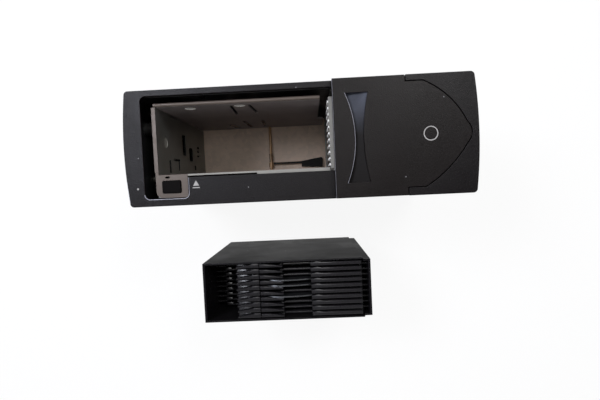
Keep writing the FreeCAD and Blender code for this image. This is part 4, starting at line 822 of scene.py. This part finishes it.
class CHANGER_OT_stage(Maker):
    """Makes the floor with its rising rim, the soft lamps and the camera"""

    bl_idname = "changer.stage"
    bl_label = "Stage"

    floor_radius = 2.6
    rim_rise = 2.4
    rim_curve = 0.6
    white_share = 0.86
    sky_strength = 0.14
    # Each lamp's name, place, side, power and tint.
    lamps = (
        ("key", (-0.52, 0.30, 0.95), 0.35, 7.2, (0.87, 0.90, 1.0)),
        ("top", (0.36, 0.46, 1.00), 0.35, 4.2, (1.0, 1.0, 1.0)),
        ("front", (-0.02, 0.10, 1.30), 0.35, 1.5, (1.0, 1.0, 1.0)),
        ("low", (0.05, -1.05, 0.75), 0.9, 1.0, (1.0, 1.0, 1.0)),
    )
    lamp_aim = (0.0, -0.03, 0.12)
    camera_lens = 24.9
    camera_place = (0.00766, -0.03002, 0.47363)
    camera_tilt, camera_pan, camera_roll = 0.0421744, -0.0261591, 0.0455073

    def make(self):
        self.floor()
        self.sky()
        for values in self.lamps:
            self.lamp(*values)
        self.camera()

    def floor(self):
        """A round floor whose rim curves up, so that no horizon shows."""
        free_selection()
        bpy.ops.mesh.primitive_circle_add(
            vertices=96, radius=self.floor_radius, fill_type="NGON"
        )
        floor = bpy.context.object
        floor.name = "floor"
        bpy.ops.object.mode_set(mode="EDIT")
        bpy.ops.mesh.select_all(action="SELECT")
        bpy.ops.mesh.extrude_region_move(
            TRANSFORM_OT_translate={"value": (0.0, 0.0, self.rim_rise)}
        )
        bpy.ops.mesh.delete(type="ONLY_FACE")
        bpy.ops.object.mode_set(mode="OBJECT")
        rim = floor.modifiers.new("cove", "BEVEL")
        rim.width = self.rim_curve
        rim.segments = 8
        bpy.ops.object.modifier_apply(modifier=rim.name)
        bpy.ops.object.shade_smooth()
        floor.data.materials.append(self.floor_finish())
        return settle(floor)

    def floor_finish(self):
        """Matt white: plain to look at, while it still takes the object's shadow."""
        material = bpy.data.materials.new("floor white")
        material.use_nodes = True
        tree = material.node_tree
        tree.nodes.clear()
        out = tree.nodes.new("ShaderNodeOutputMaterial")
        matt = add_node(tree, "ShaderNodeBsdfDiffuse", Color=(0.82, 0.82, 0.82, 1.0))
        bright = add_node(
            tree, "ShaderNodeEmission", Color=(1.0, 1.0, 1.0, 1.0), Strength=1.05
        )
        rays = tree.nodes.new("ShaderNodeLightPath")
        some = add_node(tree, "ShaderNodeMath", operation="ADD", use_clamp=True)
        more = add_node(tree, "ShaderNodeMath", operation="ADD", use_clamp=True)
        share = add_node(tree, "ShaderNodeMath", operation="MULTIPLY")
        share.inputs[1].default_value = self.white_share
        mix = tree.nodes.new("ShaderNodeMixShader")
        tree.links.new(rays.outputs["Is Camera Ray"], some.inputs[0])
        tree.links.new(rays.outputs["Is Glossy Ray"], some.inputs[1])
        tree.links.new(some.outputs[0], more.inputs[0])
        tree.links.new(rays.outputs["Is Transmission Ray"], more.inputs[1])
        tree.links.new(more.outputs[0], share.inputs[0])
        tree.links.new(share.outputs[0], mix.inputs["Fac"])
        tree.links.new(matt.outputs[0], mix.inputs[1])
        tree.links.new(bright.outputs[0], mix.inputs[2])
        tree.links.new(mix.outputs[0], out.inputs["Surface"])
        return material

    def sky(self):
        """An even, dim white all round, and plain view settings."""
        scene = bpy.context.scene
        scene.view_settings.view_transform = "Standard"
        world = bpy.data.worlds.new("studio air")
        world.use_nodes = True
        air = world.node_tree.nodes["Background"]
        air.inputs["Color"].default_value = (1.0, 1.0, 1.0, 1.0)
        air.inputs["Strength"].default_value = self.sky_strength
        scene.world = world

    def lamp(self, name, place, side, power, tint):
        """A square soft lamp that points at the middle of the object."""
        free_selection()
        bpy.ops.object.light_add(type="AREA", location=place)
        lamp = bpy.context.object
        lamp.name = name
        lamp.data.shape = "SQUARE"
        lamp.data.size = side
        lamp.data.energy = power
        lamp.data.color = tint
        aim = Vector(self.lamp_aim) - Vector(place)
        lamp.rotation_euler = aim.to_track_quat("-Z", "Y").to_euler()

    def camera(self):
        """The camera looks down on the unit's front from about 0.3 m before it."""
        free_selection()
        bpy.ops.object.camera_add()
        camera = bpy.context.object
        camera.name = "front view"
        camera.data.sensor_fit = "HORIZONTAL"
        camera.data.sensor_width = 36.0
        camera.data.lens = self.camera_lens
        camera.data.clip_start = 0.01
        camera.data.clip_end = 50.0
        tilt = Matrix.Rotation(self.camera_tilt, 3, "X")
        pan = Matrix.Rotation(self.camera_pan, 3, "Y")
        roll = Matrix.Rotation(self.camera_roll, 3, "Z")
        seen = (roll @ pan @ tilt).transposed().to_4x4()
        seen.translation = Vector(self.camera_place)
        camera.matrix_world = seen
        bpy.context.scene.camera = camera


class CHANGER_OT_front(Maker):
    """Shapes the moulded front: the surround, the sliding door and the end cap"""

    bl_idname = "changer.front"
    bl_label = "Front, door and end cap"

    def make(self):
        edge = sizes().front_edge
        bezel = rounded_stand_in("front_bezel", "case_plastic", edge)
        door = rounded_stand_in("sliding_door", "door_plastic", edge)
        rounded_stand_in("end_cap", "case_plastic", edge)
        rounded_stand_in("dust_shutter", "inner_black", sizes().small_edge)
        rounded_stand_in("shutter_rails", "inner_black", sizes().small_edge)
        self.highlight_opening_rim(bezel)
        self.highlight_door_edge(door)
        self.paint_grip_sheen(door)

    def highlight_opening_rim(self, bezel):
        """The lower rim of the opening, round the notch for the button, gets a painted
        highlight.
        """
        low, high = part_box("front_bezel")
        bottom, front = low.y + 4.0 * MM, high.z - 1.0 * MM
        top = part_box("bay_floor_plate")[0].y - 1.0 * MM
        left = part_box("bay_side_plate")[0].x - 14.0 * MM
        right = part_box("eject_bracket")[1].x + 4.0 * MM

        def rim(middle, normal):
            inside = left < middle.x < right and bottom < middle.y < top
            return inside and middle.z > front and is_rounding(normal)

        second_finish(bezel, "rubbed_edge", rim)

    def highlight_door_edge(self, door):
        """The door's left edge gets a painted highlight over its whole height."""
        low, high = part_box("sliding_door")
        right, front = low.x + 0.8 * MM, high.z - 0.8 * MM

        def edge(middle, normal):
            return middle.x < right and middle.z > front and is_rounding(normal)

        second_finish(door, "rubbed_edge", edge)

    def paint_grip_sheen(self, door):
        """The hollow of the grip gets a painted sheen, and its left lip a painted highlight.
        """
        low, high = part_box("sliding_door")
        start, end = low.x + 8.0 * MM, low.x + 27.0 * MM
        half_height = 32.5 * MM

        def hollow(middle, normal):
            inside = start < middle.x < end and abs(middle.y) < half_height
            return inside and high.z - 6.0 * MM < middle.z < high.z - 0.3 * MM

        def lip(middle, normal):
            left = start - 2.0 * MM < middle.x < (start + end) / 2
            inside = left and abs(middle.y) < half_height + 1.0 * MM
            turned = normal.x > 0.15 and is_rounding(normal)
            return inside and turned and middle.z > high.z - 1.2 * MM

        second_finish(door, "grip_sheen", hollow)
        second_finish(door, "rubbed_edge", lip)


class CHANGER_OT_covers(Maker):
    """Shapes the folded steel covers of the case"""

    bl_idname = "changer.covers"
    bl_label = "Case covers"

    def make(self):
        for node in ("top_cover", "bottom_cover", "rear_panel"):
            rounded_stand_in(node, "case_paint", sizes().cover_edge)


class CHANGER_OT_bay(Maker):
    """Shapes the stamped plates, the comb and the bracket round the magazine bay"""

    bl_idname = "changer.bay"
    bl_label = "Magazine bay"

    wall_dimple = (7.2 * MM, 139.2 * MM)
    ceiling_dimples = ((-83.7 * MM, 147.0 * MM), (-44.5 * MM, 149.0 * MM))
    dimple_radius = 4.4 * MM
    raised_lip_start = -32.0 * MM

    def make(self):
        edge = sizes().sheet_edge
        self.side_wall(edge)
        self.floor(edge)
        self.ceiling(edge)
        self.levers(sizes().small_edge)
        # The back wall gets a lighter copy of the zinc: painted light.
        rounded_stand_in("chassis_back_plate", "zinc_warm", edge, 2)
        for node in ("chassis_base_plate", "mech_cover", "mech_front_plate"):
            rounded_stand_in(node, "zinc_sheet", edge, 2)
        rounded_stand_in("eject_bracket", "cream_sheet", edge, 2)
        rounded_stand_in("bay_divider", "pale_sheet", edge, 2)
        rounded_stand_in("tray_comb", "comb_white", edge / 3, 1)

    def side_wall(self, edge):
        """The wall's front flange is cream, and the cut edges inside its slots are painted
        dark as shade.
        """
        wall = rounded_stand_in("bay_side_plate", "zinc_sheet", edge, 2)
        low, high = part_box("bay_side_plate")
        margin = 2.0 * MM

        def flange(middle, normal):
            return middle.z > high.z - 1.3 * MM

        # Faces inside the slots, painted black as shade.
        def cut(middle, normal):
            along = low.y + margin < middle.y < high.y - margin
            deep = low.z + margin < middle.z < high.z - 3.0 * MM
            return along and deep and abs(normal.x) < 0.95

        second_finish(wall, "cream_sheet", flange)
        second_finish(wall, "inner_black", cut)
        # The wall's dimple gets a painted highlight.
        self.paint_dimple_highlight(wall, self.wall_dimple, "y", "pale_sheet")

    def floor(self, edge):
        """The right part of the floor's front lip is paler than the sheet."""
        floor = rounded_stand_in("bay_floor_plate", "cream_sheet", edge, 2)
        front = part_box("bay_floor_plate")[1].z - 3.0 * MM

        def lip(middle, normal):
            return middle.x > self.raised_lip_start and middle.z > front

        second_finish(floor, "pale_sheet", lip)

    def ceiling(self, edge):
        """The ceiling's hem folds over its front edge and is paler than the sheet."""
        # The ceiling gets its own copy of the zinc: painted shade.
        ceiling = rounded_stand_in("bay_top_plate", "zinc_dull", edge, 2)
        low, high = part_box("bay_top_plate")
        front, under = high.z - 6.5 * MM, low.y + 0.02 * MM

        def hem(middle, normal):
            return middle.z > front and middle.y > under

        second_finish(ceiling, "cream_sheet", hem)
        # The ceiling's dimples take the white comb finish as a painted highlight.
        for place in self.ceiling_dimples:
            self.paint_dimple_highlight(ceiling, place, "x", "comb_white")

    def levers(self, edge):
        """The ejector's arm is bare metal left of its moulded block, in the rod finish with
        its painted warm reflection.
        """
        for node in ("eject_button", "magazine_latch", "eject_switch"):
            rounded_stand_in(node, node_slots()[node], edge, 2)
        ejector = rounded_stand_in("ejector_lever", "lever_black", edge, 2)
        block_start = -0.5 * MM
        second_finish(ejector, "rod_steel", lambda middle, normal: middle.x < block_start)

    def paint_dimple_highlight(self, plate, place, axis, finish):
        """A pressed dimple, given by its middle along an axis and along Z, gets a lighter
        finish as a painted highlight.
        """

        def raised(middle, normal):
            across = getattr(middle, axis) - place[0]
            return math.hypot(across, middle.z - place[1]) < self.dimple_radius

        second_finish(plate, finish, raised)


class CHANGER_OT_eject_spring(Maker):
    """Makes the button's return spring from its frame node, shaded smooth"""

    bl_idname = "changer.eject_spring"
    bl_label = "Button spring"

    def make(self):
        node = "eject_spring"
        piece = recast(node, f"{node}_shaped")
        bpy.ops.object.shade_smooth_by_angle(angle=SPRING_SMOOTH_ANGLE)
        dress(piece, "spring_steel", body_holding(node))
        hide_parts(node)
        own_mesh(piece)


class CHANGER_OT_magazine(Maker):
    """Shapes the two halves of the magazine's case"""

    bl_idname = "changer.magazine"
    bl_label = "Magazine case"

    def make(self):
        for node in ("magazine_upper_case", "magazine_lower_case"):
            half = rounded_stand_in(node, "magazine_black", sizes().magazine_edge, 2)
            # The broad faces get the matt finish, whose darker colour is painted shade.
            second_finish(
                half, "magazine_matt", lambda middle, normal: abs(normal.y) > 0.9
            )


class CHANGER_OT_trays(Maker):
    """Shapes one disc tray and copies it for the others"""

    bl_idname = "changer.trays"
    bl_label = "Disc trays"

    def make(self):
        first = "tray_01"
        model = recast(first, f"{first}_shaped")
        soften(model, sizes().tray_edge, 2, flat=False)
        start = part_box(first)[0].y
        for node, slot in node_slots().items():
            if slot != "tray_black":
                continue
            piece = model if node == first else twin(model, f"{node}_shaped")
            piece.location.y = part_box(node)[0].y - start
            dress(piece, slot, body_holding(node))
            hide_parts(node)


class CHANGER_OT_discs(Maker):
    """Lays a disc with a dark label in the trays that hold one"""

    bl_idname = "changer.discs"
    bl_label = "Loaded discs"

    def make(self):
        model = self.disc()
        first = LOADED_TRAYS[0]
        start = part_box(first)[0].y
        for node in LOADED_TRAYS:
            piece = model if node == first else twin(model, f"disc_in_{node}")
            piece.location.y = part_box(node)[0].y - start
            dress(piece, "disc_silver", body_holding(node))
            second_finish(piece, "inner_black", lambda middle, normal: normal.y > 0.9)

    def disc(self):
        """A disc with its hole, a little above the first tray's pocket floor."""
        first = LOADED_TRAYS[0]
        low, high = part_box(first)
        middle_x = (low.x + high.x) / 2 / MM
        middle_y = low.y / MM + POCKET_FLOOR + DISC_THICKNESS / 2
        middle_z = high.z / MM - DISC_EDGE - DISC_RADIUS
        disc = drum(
            f"disc_in_{first}",
            (middle_x, middle_y, middle_z),
            DISC_RADIUS,
            DISC_THICKNESS,
            DISC_SIDES,
            "y",
        )
        open_ring(disc, "y", DISC_RADIUS - HOLE_RADIUS)
        return soften(disc, 0.12 * MM, 1)


class CHANGER_OT_player(Maker):
    """Shapes the player that rides up and down beside the bay"""

    bl_idname = "changer.player"
    bl_label = "Player deck"

    def make(self):
        edge = sizes().sheet_edge
        slots = node_slots()
        for node in ("elevator_deck", "clamp_arm", "cam_slide"):
            rounded_stand_in(node, slots[node], edge, 2)
        for node in (
            "turntable",
            "disc_clamp",
            "optical_pickup",
            "load_slider",
            "spindle_motor",
            "lift_motor",
        ):
            rounded_stand_in(node, slots[node], sizes().small_edge, 2)


class CHANGER_OT_fittings(Maker):
    """Shapes the screws, nuts, dials, dampers, the board and the data socket"""

    bl_idname = "changer.fittings"
    bl_label = "Fittings"

    def make(self):
        slots = node_slots()
        for node in (
            "case_screws",
            "side_mount_nuts",
            "suspension_dial_left",
            "suspension_dial_right",
            "suspension_dampers",
            "board_parts",
            "din_socket",
        ):
            rounded_stand_in(node, slots[node], sizes().small_edge, 2)
        rounded_stand_in("main_board", "board_green", sizes().sheet_edge, 1)


class CHANGER_OT_marks(Maker):
    """Makes the eject mark, the plain ring on the door and the dot on the front"""

    bl_idname = "changer.marks"
    bl_label = "Printed marks"

    # Places and sizes across the front, in millimetres.
    bar_low, bar_high = (-79.4, -30.6), (-74.0, -29.9)
    triangle_place, triangle_radius = (-76.7, -27.5), 2.6
    dot_place, dot_radius = (-120.3, -29.5), 0.7
    ring_place, ring_radius, ring_width = (95.0, 0.6), 5.2, 0.7

    def make(self):
        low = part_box("front_bezel")[1].z / MM
        high = low + sizes().mark_height / MM
        bar = block("eject_bar", (*self.bar_low, low), (*self.bar_high, high))
        triangle = self.stamp(
            "eject_triangle", self.triangle_place, self.triangle_radius, low, 3
        )
        dot = self.stamp("front_dot", self.dot_place, self.dot_radius, low, 24)
        for mark in (bar, triangle, dot):
            self.finish_mark(mark, "case", "case_plastic")
        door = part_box("sliding_door")[1].z / MM
        ring = self.stamp("door_ring", self.ring_place, self.ring_radius, door, 64)
        open_ring(ring, "z", self.ring_width)
        self.finish_mark(ring, "door", "door_plastic")

    def stamp(self, name, place, radius, low, sides):
        """A flat round or cornered mark that lies on a face."""
        height = sizes().mark_height / MM
        return drum(name, (*place, low + height / 2), radius, height, sides)

    def finish_mark(self, piece, body, slot):
        soften(piece, 0.03 * MM, 1)
        dress(piece, "mark_paint", body)


PIECES = (
    CHANGER_OT_finishes,
    CHANGER_OT_stage,
    CHANGER_OT_front,
    CHANGER_OT_covers,
    CHANGER_OT_bay,
    CHANGER_OT_eject_spring,
    CHANGER_OT_magazine,
    CHANGER_OT_trays,
    CHANGER_OT_discs,
    CHANGER_OT_player,
    CHANGER_OT_fittings,
    CHANGER_OT_marks,
)


class CHANGER_PT_panel(bpy.types.Panel):
    """Lists the sizes, the colours and the pieces in the sidebar"""

    bl_idname = "CHANGER_PT_panel"
    bl_label = "Disc changer"
    bl_space_type = "VIEW_3D"
    bl_region_type = "UI"
    bl_category = "Disc changer"

    def draw(self, context):
        for piece in PIECES:
            self.layout.operator(piece.bl_idname)
        for group in (context.scene.changer_sizes, context.scene.changer_colours):
            box = self.layout.box()
            for name in group.bl_rna.properties.keys():
                if name not in ("rna_type", "name"):
                    box.prop(group, name)


CLASSES = (ChangerSizes, ChangerColours, *PIECES, CHANGER_PT_panel)


def register():
    for made in CLASSES:
        bpy.utils.register_class(made)
    bpy.types.Scene.changer_sizes = PointerProperty(type=ChangerSizes)
    bpy.types.Scene.changer_colours = PointerProperty(type=ChangerColours)


def unregister():
    del bpy.types.Scene.changer_colours
    del bpy.types.Scene.changer_sizes
    for made in reversed(CLASSES):
        bpy.utils.unregister_class(made)


def main():
    register()
    for piece in PIECES:
        group, name = piece.bl_idname.split(".")
        getattr(getattr(bpy.ops, group), name)()


if __name__ == "__main__":
    main()
